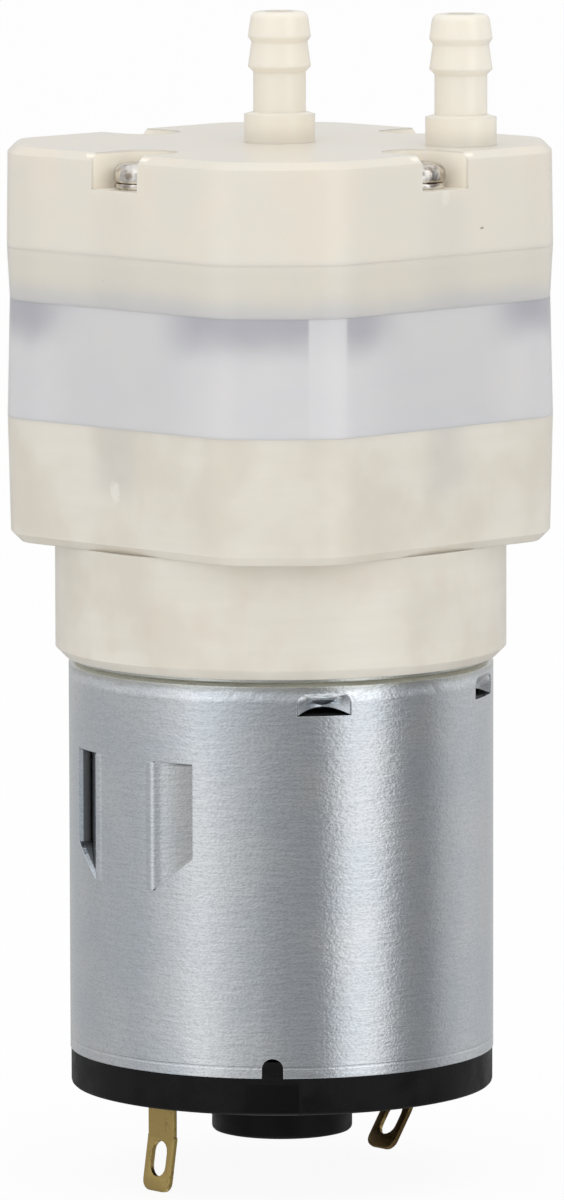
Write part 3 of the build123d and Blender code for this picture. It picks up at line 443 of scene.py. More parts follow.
def zinc_sheet(colours):
    """Bright zinc on drawn steel: a fine grain, ripples, stains, specks, sheared edges and pressed-in tabs,
    with painted contact shade below the cup and painted shade inside the can and on the pressed-in tabs.
    """
    skin = Finish("zinc_sheet", Metallic=1.0)
    cloud = skin.noise(4.5, detail=3.0, seed=2.0)
    skin.tone = skin.mix(skin.step(cloud, 0.35, 0.7), colours.zinc, colours.zinc_cool)
    grain = skin.noise(0.13, detail=3.0, stretch=(0.75, 0.75, 1.3), seed=6.0)
    crystals = skin.noise(0.3, detail=3.0, seed=44.0)
    skin.stain(skin.step(grain * 0.75 + crystals * 0.25, 0.44, 0.64) * 0.4, colours.zinc_dark)
    wavy = skin.noise(0.9, seed=14.0) * 0.3
    # Stain with painted contact shade: an olive band just below the cup.
    stain_and_contact_shade = skin.step(skin.z + wavy, BASE_BOTTOM - 0.75, BASE_BOTTOM - 0.15)
    skin.stain(stain_and_contact_shade * 0.6, colours.zinc_stain_and_shade)
    skin.stain(skin.specks(2.2, 0.09, 0.2, seed=31.0) * 0.45, colours.zinc_dirt)
    across, along = skin.parts(skin.node("TexCoord", output="Normal"))[:2]
    outward = (across * skin.x + along * skin.y) / skin.radius
    depth = CAN_RADIUS - skin.radius
    torn = skin.step(abs(outward), 0.7, 0.45) * skin.step(depth, 0.22, 0.32)
    # Painted shade: the can's inside is dark.
    inside = skin.step(outward, -0.1, -0.3) + skin.step(depth, 0.85, 0.97)
    # Painted shade: the pressed tabs darken as they sink into the can, with dark lines along their free and
    # top edges.
    painted_sunk_shade = skin.step(depth, 0.15, 0.6) * skin.above(LANCE_TOP + 0.75, LANCE_TOP + 0.25)
    skin.stain(painted_sunk_shade * 0.45, colours.zinc_sunk_shade)
    rim = skin.step(depth, 0.69, 0.75) + skin.above(LANCE_TOP - 0.25, LANCE_TOP - 0.05)
    # Dark colour for the sheared faces, and painted shade on the tabs' edges and the can's inside.
    for mask in (painted_sunk_shade * rim * 0.75, torn * 0.8, inside * 0.85):
        skin.stain(mask, colours.zinc_cut_and_shade)
    ripples = skin.noise(0.5, stretch=(0.4, 0.4, 2.2), seed=9.0)
    roughness = 0.1 + grain * 0.08 + cloud * 0.05 + torn * 0.25
    crimp = skin.band(skin.z, CAN_BOTTOM + 0.6, 0.03, 0.07)
    shoulder = skin.step(skin.z + wavy, BASE_BOTTOM - 0.5, BASE_BOTTOM - 1.2)
    relief = ripples * 1.3 + grain * 0.9 + crystals * 0.2 - crimp * 0.9 + shoulder * 7.0
    return skin.surface(skin.tone, roughness, relief, 0.016, 0.08)


def tarnished_brass(name, colour, dark, share):
    """Stamped brass with brown tarnish that gathers in patches."""
    skin = Finish(name, Metallic=1.0)
    patches = skin.noise(1.1, detail=5.0, seed=7.0)
    fine = skin.noise(0.2, detail=3.0, seed=1.0)
    mask = skin.step(patches * 0.7 + fine * 0.3, 0.62 - share, 0.78 - share)
    tone = skin.mix(mask, colour, dark)
    return skin.surface(tone, 0.3 + fine * 0.15 + mask * 0.15, fine + patches, 0.015, 0.08)


def worked_metal(name, colour, stretch, roughness):
    """Turned, rolled or sintered metal whose marks run along the shorter stretch."""
    skin = Finish(name, Metallic=1.0)
    marks = skin.noise(0.25, detail=4.0, stretch=stretch)
    dark = tuple(channel * 0.55 for channel in colour)
    tone = skin.mix(skin.step(marks, 0.4, 0.75), colour, dark)
    return skin.surface(tone, roughness + marks * 0.2, marks, 0.01, 0.08)


def wound_wire(colours):
    """Enamelled wire laid side by side, with its turns stacked along each pole."""
    skin = Finish("wound_wire", Metallic=1.0, Coat_Weight=0.4, Coat_Roughness=0.15)
    turns = abs((skin.radius * (pi / 0.26)).sine())
    worn = skin.noise(0.6, detail=3.0)
    tone = skin.mix(skin.step(worn, 0.4, 0.7), colours.wire, colours.wire_dark)
    tone = skin.mix(skin.step(turns, 0.35, 0.0), tone, (0.06, 0.02, 0.01))
    return skin.surface(tone, 0.25 + worn * 0.15, turns, 0.06)


def stacked_steel(colours):
    """Edges of thin laminations, one on the other."""
    skin = Finish("stacked_steel", Metallic=1.0)
    sheets = abs((skin.z * (pi / 0.5)).sine())
    rust = skin.noise(1.2, detail=4.0)
    tone = skin.mix(skin.step(rust, 0.5, 0.75) * 0.5, colours.lamination, (0.16, 0.10, 0.06))
    tone = skin.mix(skin.step(sheets, 0.25, 0.0), tone, (0.03, 0.03, 0.03))
    return skin.surface(tone, 0.4 + rust * 0.2, sheets, 0.04)


def pressed_powder(name, colour, roughness):
    """Ferrite or carbon: a dark grainy body with pale dust."""
    skin = Finish(name)
    grains = skin.noise(0.15, detail=4.0)
    dust = tuple(channel * 2.2 for channel in colour)
    tone = skin.mix(skin.step(grains, 0.55, 0.8), colour, dust)
    return skin.surface(tone, roughness + grains * 0.15, grains, 0.03, 0.15)


def black_moulding(colours):
    """End cap: satin black with dust, and a smoother patch under the can's notch."""
    skin = Finish("black_moulding", IOR=1.5, Specular_IOR_Level=0.16)
    dust = skin.noise(1.6, detail=4.0)
    grain = skin.noise(0.12, seed=3.0)
    patch = skin.band(skin.azimuth, NOTCH_TURN - tau, radians(7.0), radians(0.3))
    patch = patch * skin.step(skin.radius, 11.0, 11.2) * skin.above(-0.3, -0.35)
    scuffed = skin.step(dust * 0.7 + grain * 0.3, 0.35, 0.65) * (1 - patch)
    tone = skin.mix(scuffed, colours.cap_black, colours.cap_scuffed)
    roughness = 0.4 + scuffed * 0.2 + skin.specks(1.1, 0.05, 0.25) * 0.2 - patch * 0.12
    return skin.surface(tone, roughness, grain * 0.5 - patch * 0.8, 0.02, 0.12)


# Modelled fasteners


def polar(turn, radius, height):
    """Point in metres from an azimuth in radians, and a radius and a height in millimetres."""
    return Vector((radius * cos(turn), radius * sin(turn), height)) * MM


def placed(name, data):
    """New object in the scene."""
    piece = bpy.data.objects.new(name, data)
    bpy.context.scene.collection.objects.link(piece)
    return piece


def revolved(profile, steps, closed=False):
    """Mesh turned about Z from a profile of (radius, height) points in millimetres."""
    mesh = bmesh.new()
    rings = []
    for radius, height in profile:
        turns = [tau * step / steps for step in range(steps if radius else 1)]
        rings.append([mesh.verts.new(polar(turn, radius, height)) for turn in turns])
    if closed:
        rings.append(rings[0])
    for lower, upper in zip(rings, rings[1:]):
        for step in range(steps):
            after = (step + 1) % steps
            corners = ((lower, step), (lower, after), (upper, after), (upper, step))
            mesh.faces.new(list(dict.fromkeys(ring[i % len(ring)] for ring, i in corners)))
    bmesh.ops.recalc_face_normals(mesh, faces=mesh.faces)
    return mesh


def smooth_piece(name, mesh, sharp_angle=35):
    """Object with smooth faces and its steeper edges kept sharp."""
    data = bpy.data.meshes.new(name)
    for edge in mesh.edges:
        edge.smooth = len(edge.link_faces) == 2 and edge.calc_face_angle() < radians(sharp_angle)
    for face in mesh.faces:
        face.smooth = True
    mesh.to_mesh(data)
    mesh.free()
    return placed(name, data)


def arc_points(centre, radius, start, end, count):
    """Points of an arc in a half profile, from one angle to another in degrees."""
    angles = [radians(start + (end - start) * i / count) for i in range(count + 1)]
    return [(centre[0] + radius * cos(a), centre[1] + radius * sin(a)) for a in angles]


def screw_profile(rounding, shank, tip_edge):
    """Half profile of a pan head screw, from the middle of its top round to its tip."""
    foot = 0.18
    profile = [(0, SCREW_TOP), (0.5, SCREW_TOP)]
    profile += arc_points((SCREW_HEAD - rounding, SCREW_TOP - rounding), rounding, 90, 0, 7)
    profile += arc_points((SCREW_HEAD - foot, WASHER_TOP + foot), foot, 0, -90, 3)
    profile += [(shank, WASHER_TOP), (shank, SCREW_TIP + tip_edge)]
    return profile + [(shank - tip_edge, SCREW_TIP), (0, SCREW_TIP)]


def washer_profile(bore, rounding):
    """Ring section of a washer with rolled edges, as a closed loop."""
    outer = WASHER_EDGE - SCREW_SIDE
    top = arc_points((outer - rounding, WASHER_TOP - rounding), rounding, 90, 0, 3)
    bottom = arc_points((outer - rounding, WASHER_BOTTOM + rounding), rounding, 0, -90, 3)
    return [(bore, WASHER_TOP), *top, *bottom, (bore, WASHER_BOTTOM)]


def cross_outline(reach, half_width):
    """The twelve corners of a cross, in turn."""
    corners = ((reach, -half_width), (reach, half_width), (half_width, half_width))
    turns = [Matrix.Rotation(radians(90 * quarter), 2) for quarter in range(4)]
    return [turn @ Vector(place) for turn in turns for place in corners]


def cross_recess(reach, half_width, depth):
    """Cutter for a cross recess, narrower towards its floor."""
    mesh = bmesh.new()
    rings = []
    for scale, height in ((0.5, SCREW_TOP - depth), (1.06, SCREW_TOP + depth * 0.12)):
        outline = cross_outline(reach * scale, half_width * (0.35 + 0.65 * scale))
        rings.append([mesh.verts.new((p.x * MM, p.y * MM, height * MM)) for p in outline])
    mesh.faces.new(rings[0][::-1])
    mesh.faces.new(rings[1])
    for i in range(len(rings[0])):
        j = (i + 1) % len(rings[0])
        mesh.faces.new((rings[0][i], rings[0][j], rings[1][j], rings[1][i]))
    bmesh.ops.recalc_face_normals(mesh, faces=mesh.faces)
    return mesh


def evaluated(piece):
    """Mesh of an object as its modifiers and curve settings make it."""
    mesh = bmesh.new()
    mesh.from_mesh(piece.evaluated_get(bpy.context.evaluated_depsgraph_get()).to_mesh())
    return mesh


def cut_away(mesh, cutter):
    """The mesh without the cutter's space."""
    body, tool = smooth_piece("body", mesh), smooth_piece("tool", cutter)
    modifier = body.modifiers.new("cut", "BOOLEAN")
    modifier.operation = "DIFFERENCE"
    modifier.solver = "EXACT"
    modifier.object = tool
    result = evaluated(body)
    for piece in (body, tool):
        data = piece.data
        bpy.data.objects.remove(piece)
        bpy.data.meshes.remove(data)
    return result


def at_the_screws(mesh, turns):
    """Four copies of a mesh on the screws' axes, each with its own turn in degrees."""
    single = bpy.data.meshes.new("single")
    mesh.to_mesh(single)
    mesh.free()
    copies = bmesh.new()
    for (side_x, side_y), turn in zip(((1, 1), (-1, 1), (-1, -1), (1, -1)), turns):
        before = len(copies.verts)
        copies.from_mesh(single)
        copies.verts.ensure_lookup_table()
        axis = Vector((side_x * SCREW_SIDE * MM, side_y * SCREW_SIDE * MM, 0))
        place = Matrix.Translation(axis) @ Matrix.Rotation(radians(turn), 4, "Z")
        bmesh.ops.transform(copies, matrix=place, verts=copies.verts[before:])
    bpy.data.meshes.remove(single)
    return copies


# Modelled tabs and scoops of the can


def pressed_sheet(mesh, columns, rows, thickness, surface):
    """Adds a sheet whose outer face is surface(u, v), as azimuth, radius and height, for 0 to 1."""
    faces = []
    for depth in (0, thickness):
        grid = [[surface(i / columns, j / rows) for j in range(rows + 1)] for i in range(columns + 1)]
        grid = [[mesh.verts.new(polar(t, r - depth, z)) for t, r, z in column] for column in grid]
        for i in range(columns):
            for j in range(rows):
                corners = (grid[i][j], grid[i + 1][j], grid[i + 1][j + 1], grid[i][j + 1])
                mesh.faces.new(corners if depth == 0 else corners[::-1])
        around = grid[0] + [column[-1] for column in grid[1:-1]] + grid[-1][::-1]
        faces.append(around + [column[0] for column in grid[-2:0:-1]])
    for i in range(len(faces[0])):
        j = (i + 1) % len(faces[0])
        mesh.faces.new((faces[0][i], faces[1][i], faces[1][j], faces[0][j]))
    bmesh.ops.recalc_face_normals(mesh, faces=mesh.faces)


def lance_tab(mesh, middle, side):
    """Tab hinged along one side with a soft bulge, its slanted lower end pressed in."""
    start, hinge, free, pressed_in = 8.9, 11.4, 23.1, radians(21.0)

    def surface(u, v):
        angle = start + (free - start) * u
        past = max(radians(angle - hinge) * CAN_RADIUS, 0)
        bulge = 0.1 * sin(pi * min((angle - start) / (hinge + 1.6 - start), 1))
        sink = 0.02 if u == 0 else 0
        bend = past * sin(pressed_in) - past * past * 0.02
        slant = max(min((angle - hinge) / (free - hinge), 1), 0)
        low = LANCE_TIP + (LANCE_FOOT - LANCE_TIP) * slant
        radius = CAN_RADIUS + bulge - bend - sink
        return middle + side * radians(angle), radius, low + (LANCE_TOP - low) * v

    pressed_sheet(mesh, 18, 14, 0.3, surface)


def louvre_scoop(mesh, middle):
    """Scoop pressed in below its upper edge, with an arched lip that leaves a lens-shaped slit."""
    half, bottom, top = radians(7.2), 20.68, 21.93

    def surface(u, v):
        arch = 1 - (2 * u - 1) ** 2
        depth = 0.75 * arch * cos(v * pi / 2)
        lip = bottom + 0.4 * arch
        return middle + half * (2 * u - 1), CAN_RADIUS - 0.03 - depth, lip + (top - lip) * v

    pressed_sheet(mesh, 14, 8, 0.15, surface)


# Modelled end cap and solder tabs


def cap_profile(rim, rim_edge, height, boss, shaft_hole):
    """Ring section of the end cap: rim, plug inside the can, floor and the rear bush's boss."""
    plug, plug_inside, plug_top = CAN_RADIUS - 0.82, CAN_RADIUS - 1.7, 2.4
    floor_top, bore = 1.5 - height, BEARING_RADIUS + 0.02
    return [
        (shaft_hole, CAP_BOTTOM), (boss - rim_edge, CAP_BOTTOM),
        *arc_points((boss - rim_edge, CAP_BOTTOM + rim_edge), rim_edge, -60, 0, 2),
        (boss, -height), (rim - rim_edge, -height),
        *arc_points((rim - rim_edge, rim_edge - height), rim_edge, -60, 0, 2),
        (rim, -0.02), (plug, -0.02), (plug, plug_top), (plug_inside, plug_top), (plug_inside, floor_top),
        (bore, floor_top), (bore, BEARING_BOTTOM), (shaft_hole, BEARING_BOTTOM),
    ]


def curved_block(mesh, inner, outer, middle, width, bottom, top, steps=4):
    """Adds a block between two radii, centred on an azimuth, whose outer face follows the can."""
    half = width / 2 / outer
    turns = [middle - half + 2 * half * step / steps for step in range(steps + 1)]
    grid = []
    for radius, height in ((inner, bottom), (outer, bottom), (outer, top), (inner, top)):
        grid.append([mesh.verts.new(polar(turn, radius, height)) for turn in turns])
    for row, after in zip(grid, grid[1:] + grid[:1]):
        for i in range(steps):
            mesh.faces.new((row[i], row[i + 1], after[i + 1], after[i]))
    mesh.faces.new([row[0] for row in grid])
    mesh.faces.new([row[-1] for row in grid][::-1])
    bmesh.ops.recalc_face_normals(mesh, faces=mesh.faces)


def slot_cutter(radius, thickness, width):
    """Two blocks that cut the slots for the tabs through the cap's floor."""
    mesh = bmesh.new()
    for turn in (MOTOR_TURN, MOTOR_TURN + pi):
        curved_block(mesh, radius - thickness / 2, radius + thickness / 2, turn, width, -5, 5, steps=1)
    return mesh


def tab_outline(width, neck, corner, bottom, top, shoulder):
    """Half-width steps of a tab seen from its face: a narrower neck above, rounded corners below."""
    half, slim = width / 2, width / 2 - neck
    right = [(slim, top), (slim, shoulder), (half, shoulder)]
    right += arc_points((half - corner, bottom + corner), corner, 0, -90, 5)
    return right + [(-across, height) for across, height in reversed(right)]


def slot_outline(width, length, middle):
    """Long round-ended hole."""
    reach = length / 2 - width / 2
    upper = arc_points((0, middle + reach), width / 2, 0, 180, 8)
    lower = arc_points((0, middle - reach), width / 2, 180, 360, 8)
    return upper + lower


def stamped_tab(name, outlines, thickness, radius, turn, bend, bend_top):
    """Tab stamped from the outlines and bent outwards below a height, set at a radius and azimuth."""
    edge, bend_radius = 0.04, 0.7
    curve = bpy.data.curves.new(name, "CURVE")
    curve.dimensions, curve.fill_mode = "2D", "BOTH"
    curve.extrude, curve.bevel_depth, curve.offset = (thickness / 2 - edge) * MM, edge * MM, -edge * MM
    curve.bevel_resolution = 1
    for outline in outlines:
        spline = curve.splines.new("POLY")
        spline.points.add(len(outline) - 1)
        spline.use_cyclic_u = True
        for point, (across, height) in zip(spline.points, outline):
            point.co = (across * MM, height * MM, 0, 1)
    holder = placed(name, curve)
    mesh = evaluated(holder)
    bpy.data.objects.remove(holder)
    bmesh.ops.remove_doubles(mesh, verts=mesh.verts, dist=0.000001)
    length = abs(bend) * bend_radius
    for step in range(5):
        line = (0, (bend_top - length * step / 4) * MM, 0)
        everything = mesh.verts[:] + mesh.edges[:] + mesh.faces[:]
        bmesh.ops.bisect_plane(mesh, geom=everything, plane_co=line, plane_no=(0, 1, 0))
    for vert in mesh.verts:
        across, height, through = (value / MM for value in vert.co)
        below = max(bend_top - height, 0)
        angle = bend * min(below / length, 1)
        outward = bend_radius * (1 - cos(angle)) * copysign(1, bend)
        down = bend_radius * abs(sin(angle))
        straight = max(below - length, 0)
        outward += straight * sin(bend) + through * cos(angle)
        down += straight * cos(bend) - through * sin(angle)
        upright = bend_top - down if below else height
        place = Matrix.Rotation(turn, 3, "Z") @ Vector((radius + outward, across, upright))
        vert.co = place * MM
    bmesh.ops.recalc_face_normals(mesh, faces=mesh.faces)
    return smooth_piece(name, mesh)


# Settings


def tint(name, description, *default):
    """Setting of a colour, as linear light."""
    return FloatVectorProperty(
        name=name, description=description, default=default, subtype="COLOR", min=0, max=1
    )


def measure(name, description, default, unit="LENGTH"):
    """Setting of a size."""
    return FloatProperty(name=name, description=description, default=default, unit=unit)


class PumpColours(PropertyGroup):
    """Colours of the pump's finishes, as linear light."""

    cream: tint("Cream", "Nylon of the cover", 0.79, 0.735, 0.635)
    cream_warm: tint("Warm cream", "Warmer blotches of the nylon", 0.80, 0.735, 0.635)
    cream_cool: tint("Cool cream", "Cooler blotches of the nylon", 0.775, 0.735, 0.65)
    plate: tint("Plate", "Nylon of the valve plate", 0.66, 0.63, 0.555)
    base: tint("Base", "Nylon of the base housing", 0.71, 0.67, 0.585)
    base_warm: tint("Warm base", "Warmer blotches of the base", 0.70, 0.65, 0.56)
    blush: tint("Blush", "Peach blotches of the cup", 0.71, 0.63, 0.535)
    chamber: tint("Chamber", "Nylon of the chamber body", 0.69, 0.68, 0.68)
    chamber_cool: tint("Cool chamber", "Bluish blotches of the chamber", 0.66, 0.66, 0.675)
    # Painted highlight: the softbox's reflection on the chamber body.
    painted_highlight_stripe: tint("Stripe", "Clearer flow line", 0.76, 0.76, 0.775)
    # Painted shade: dark colour for the rubber's shade seen through the nylon.
    painted_rubber_shade: tint("Rubber", "Rubber seen through nylon", 0.36, 0.36, 0.41)
    # Painted shade: grey for the steel screws' shade through the nylon, also used on the chamber's diagonal
    # flats.
    painted_grey_shade: tint("Grey", "Steel seen through nylon", 0.50, 0.50, 0.50)
    # Painted shade: grey blue for the rubber's shade through the valve plate.
    grey_blue: tint("Grey blue", "Rubber deep in the nylon", 0.50, 0.51, 0.54)
    seam: tint("Seam", "Shade in the joints", 0.40, 0.37, 0.32)
    # Painted light: pale tint for nylon that seems lit from behind, in the screw pockets and on the nozzle
    # barbs.
    painted_through_light: tint("Lit through", "Thin nylon lit from behind", 0.94, 0.885, 0.775)
    stress_mark: tint("Mark", "Whitened nylon", 0.90, 0.89, 0.82)
    acetal: tint("Acetal", "Wobble plate and crank hub", 0.82, 0.81, 0.77)
    rubber: tint("Rubber", "Diaphragm and valves", 0.025, 0.025, 0.028)
    seal: tint("Seal", "Flat seal under the cover", 0.66, 0.63, 0.56)
    nickel: tint("Nickel", "Plating of the screws", 0.76, 0.73, 0.69)
    zinc: tint("Zinc", "Plating of the can", 0.77, 0.795, 0.82)
    zinc_cool: tint("Cool zinc", "Bluish clouds of the can", 0.69, 0.745, 0.80)
    zinc_dark: tint("Dark zinc", "Grain of the can", 0.50, 0.52, 0.545)
    # Olive stain with painted contact shade below the cup.
    zinc_stain_and_shade: tint("Zinc stain", "Band below the cup", 0.52, 0.53, 0.44)
    # Painted shade: the colour of the pressed tabs' faces as they sink in.
    zinc_sunk_shade: tint("Worn zinc", "Face of the pressed tabs", 0.44, 0.43, 0.41)
    # Dark colour of the sheared faces, and painted shade for the can's inside and the tabs' edges.
    zinc_cut_and_shade: tint("Torn zinc", "Sheared faces and the can's inside", 0.10, 0.10, 0.105)
    zinc_dirt: tint("Zinc dirt", "Specks on the can", 0.16, 0.15, 0.14)
    brass: tint("Brass", "Bright face of the terminals", 0.50, 0.37, 0.14)
    brass_dark: tint("Tarnish", "Tarnish of the terminals", 0.14, 0.09, 0.035)
    bronze: tint("Bronze", "Sintered bushes", 0.46, 0.30, 0.14)
    copper: tint("Copper", "Commutator segments", 0.72, 0.36, 0.20)
    wire: tint("Wire", "Enamelled copper wire", 0.50, 0.18, 0.06)
    wire_dark: tint("Dark wire", "Older enamel", 0.30, 0.09, 0.03)
    lamination: tint("Lamination", "Electrical steel", 0.38, 0.38, 0.39)
    ferrite: tint("Ferrite", "Magnets", 0.045, 0.045, 0.048)
    carbon: tint("Carbon", "Brushes", 0.05, 0.045, 0.04)
    cap_black: tint("Cap", "Black moulding", 0.003, 0.003, 0.0035)
    cap_scuffed: tint("Scuffed cap", "Dusty black moulding", 0.007, 0.007, 0.008)
    backdrop: tint("Backdrop", "Floor and background", 1.0, 1.0, 1.0)


class PumpSizes(PropertyGroup):
    """Sizes of the pieces that are modelled here, and of the studio."""

    head_rounding: measure("Head rounding", "Radius of its upper edge", 0.0006)
    recess_reach: measure("Recess reach", "Half length of its cross", 0.00095)
    recess_width: measure("Recess width", "Width of a bar of the cross", 0.0004)
    recess_depth: measure("Recess depth", "Below the top of the head", 0.00065)
    washer_bore: measure("Washer bore", "Radius of the hole in a washer", 0.0011)
    cap_rim: measure("Cap rim", "Radius of the end cap", 0.01215)
    tab_thickness: measure("Tab thickness", "Sheet of the solder tabs", 0.0003)
    tab_width: measure("Tab width", "Across a solder tab", 0.00225)
    tab_length: measure("Tab length", "From the cap to its tip", 0.00534)
    floor_width: measure("Floor", "Width of the floor", 3.0)
    light_distance: measure("Light distance", "From the pump to a lamp", 0.6)
    camera_distance: measure("Camera distance", "In front of the motor's axis", 0.57502)
    camera_height: measure("Camera height", "Above the can's rear edge", 0.09634)
    camera_pitch: measure("Camera pitch", "Below the horizon", 0.1221, "ROTATION")
    camera_roll: measure("Camera roll", "About its line of sight", -0.0025, "ROTATION")
    camera_lens: measure("Lens", "Focal length in millimetres", 302.73, "NONE")


class PumpOperator:
    """What every operator of the pump shares."""

    bl_options = {"REGISTER", "UNDO"}

    @property
    def colours(self):
        return bpy.context.scene.pump_colours

    @property
    def sizes(self):
        return bpy.context.scene.pump_sizes

    def stand_in(self, piece, node, finish, slot):
        """Has a piece in its finish take a CAD node's place on the housing."""
        piece.data.materials.append(finish.material)
        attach(piece, "housing")
        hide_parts(node)


class PUMP_OT_head_shells(PumpOperator, Operator):
    """Finish the cover, the valve plate, the chamber body and the base housing"""

    bl_idname = "pump.head_shells"
    bl_label = "Head shells"

    def execute(self, context):
        cover_nylon(self.colours).dress("top_cover", "valve_plate")
        chamber_nylon(self.colours).dress("chamber_body")
        base_nylon(self.colours).dress("base_housing")
        return {"FINISHED"}


class PUMP_OT_head_screws(PumpOperator, Operator):
    """Finish the four head screws and their washers"""

    bl_idname = "pump.head_screws"
    bl_label = "Head screws"

    def execute(self, context):
        sizes = self.sizes
        plating = plated_steel("nickel_plating", self.colours.nickel, 0.07)
        plating.dress("motor_screws")
        screw = revolved(screw_profile(sizes.head_rounding / MM, 1.0, 0.3), 48)
        cutter = cross_recess(sizes.recess_reach / MM, sizes.recess_width / MM / 2, sizes.recess_depth / MM)
        screws = smooth_piece("pan_head_screws", at_the_screws(cut_away(screw, cutter), (12, 65, 38, 81)))
        washer = revolved(washer_profile(sizes.washer_bore / MM, 0.1), 48, closed=True)
        washers = smooth_piece("flat_washers", at_the_screws(washer, (0, 0, 0, 0)))
        self.stand_in(screws, "head_screws", plating, "bright_steel")
        self.stand_in(washers, "head_washers", plating, "bright_steel")
        return {"FINISHED"}


class PUMP_OT_rubber_parts(PumpOperator, Operator):
    """Finish the diaphragm, the valves and the seal"""

    bl_idname = "pump.rubber_parts"
    bl_label = "Rubber parts"

    def execute(self, context):
        valves = [f"inlet_valve_{side}" for side in ("right", "rear", "left", "front")]
        soft_rubber("black_rubber", self.colours.rubber).dress("diaphragm", "outlet_valve", *valves)
        soft_rubber("seal_rubber", self.colours.seal).dress("cover_gasket")
        return {"FINISHED"}


class PUMP_OT_wobble_drive(PumpOperator, Operator):
    """Finish the wobble plate, its pin and ball, and the crank hub"""

    bl_idname = "pump.wobble_drive"
    bl_label = "Wobble drive"

    def execute(self, context):
        acetal(self.colours).dress("wobble_plate", "crank_hub")
        steel = worked_metal("ground_steel", (0.58, 0.57, 0.56), (1, 1, 5), 0.15)
        steel.dress("crank_pin", "thrust_ball", "motor_shaft")
        return {"FINISHED"}


class PUMP_OT_motor_can(PumpOperator, Operator):
    """Finish the steel can, the magnets and the spring between them"""

    bl_idname = "pump.motor_can"
    bl_label = "Motor can"

    def execute(self, context):
        finish = zinc_sheet(self.colours)
        finish.dress("motor_can")
        pressed = bmesh.new()
        for side in (-1, 1):
            lance_tab(pressed, MOTOR_TURN + pi, side)
            for middle in (pi / 2, -pi / 2):
                louvre_scoop(pressed, MOTOR_TURN + middle + side * LOUVRE_TURN)
        tabs = smooth_piece("pressed_tabs", pressed, 50)
        tabs.data.materials.append(finish.material)
        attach(tabs, "housing")
        pressed_powder("ferrite", self.colours.ferrite, 0.5).dress("magnet_left", "magnet_right")
        worked_metal("spring_wire", (0.5, 0.49, 0.48), (1, 1, 1), 0.25).dress("magnet_spring")
        return {"FINISHED"}


class PUMP_OT_rotor(PumpOperator, Operator):
    """Finish the armature, the commutator, the bushes and the brushes"""

    bl_idname = "pump.rotor"
    bl_label = "Rotor and brushes"

    def execute(self, context):
        stacked_steel(self.colours).dress("armature_core")
        wound_wire(self.colours).dress("windings")
        worked_metal("turned_copper", self.colours.copper, (1, 1, 6), 0.2).dress("commutator_segments")
        bronze = worked_metal("sintered_bronze", self.colours.bronze, (1, 1, 1), 0.35)
        bronze.dress("front_bearing", "rear_bearing")
        plain = soft_rubber("rotor_plastic", (0.62, 0.58, 0.48))
        plain.dress("commutator_hub", "rotor_spacer", "front_thrust_washer", "rear_thrust_washer")
        arms = worked_metal("spring_copper", (0.62, 0.40, 0.20), (1, 5, 1), 0.2)
        arms.dress("brush_arm_front", "brush_arm_rear")
        pressed_powder("carbon", self.colours.carbon, 0.45).dress("brush_front", "brush_rear")
        return {"FINISHED"}


class PUMP_OT_end_cap(PumpOperator, Operator):
    """Finish the black end cap and the two solder terminals"""

    bl_idname = "pump.end_cap"
    bl_label = "End cap and terminals"

    def execute(self, context):
        sizes = self.sizes
        rim, thickness, width = sizes.cap_rim / MM, sizes.tab_thickness / MM, sizes.tab_width / MM
        radius, height, slack, boss, shaft_hole = CAN_RADIUS - 3.0, 2.15, 0.03, 4.05, 1.3
        key_depth, key_width, key_bottom, key_top = 0.75, 1.13, -0.3, 0.93
        ring = revolved(cap_profile(rim, 0.25, height, boss, shaft_hole), 128, closed=True)
        cap = cut_away(ring, slot_cutter(radius, thickness + 2 * slack, width + 2 * slack))
        curved_block(cap, rim - key_depth, rim, NOTCH_TURN, key_width, key_bottom, key_top)
        cap = smooth_piece("cap_moulding", cap)
        self.stand_in(cap, "end_cap", black_moulding(self.colours), "black_plastic")
        brass, dark = self.colours.brass, self.colours.brass_dark
        tip = -height - sizes.tab_length / MM
        slot_width, slot_length, below_slot = 1.25, 2.05, 0.85
        hole = slot_outline(slot_width, slot_length, tip + below_slot + slot_length / 2)
        tabs = (("front", pi, 9.0, 2.25, 0.05), ("rear", 0.0, -34.0, 2.3, 0.3))
        for side, turn, bend, drop, tarnish in tabs:
            bend_top = -height - drop
            outlines = (tab_outline(width, 0.05, 0.6, tip, 3.2, bend_top + 0.1), hole)
            place = (thickness, radius, MOTOR_TURN + turn)
            tab = stamped_tab(f"solder_tab_{side}", outlines, *place, radians(bend), bend_top)
            finish = tarnished_brass(f"terminal_brass_{side}", brass, dark, tarnish)
            self.stand_in(tab, f"terminal_{side}", finish, "terminal_brass")
        return {"FINISHED"}


# Studio


ROOM_LIGHT = 0.85
# The room as glossy surfaces see it: degrees right of the camera, and how bright it is there
ROOM_CARDS = (
    (-180, 0.56), (-128, 0.48), (-83, 0.52), (-60, 0.68), (-45, 0.92),
    (-30, 0.68), (-10, 0.44), (6, 0.34), (24, 0.32), (31, 0.75),
    (37, 1.05), (52, 1.05), (59, 0.7), (65, 0.36), (76, 0.28),
    (88, 0.30), (100, 0.50), (118, 0.60), (150, 0.54), (180, 0.60),
)


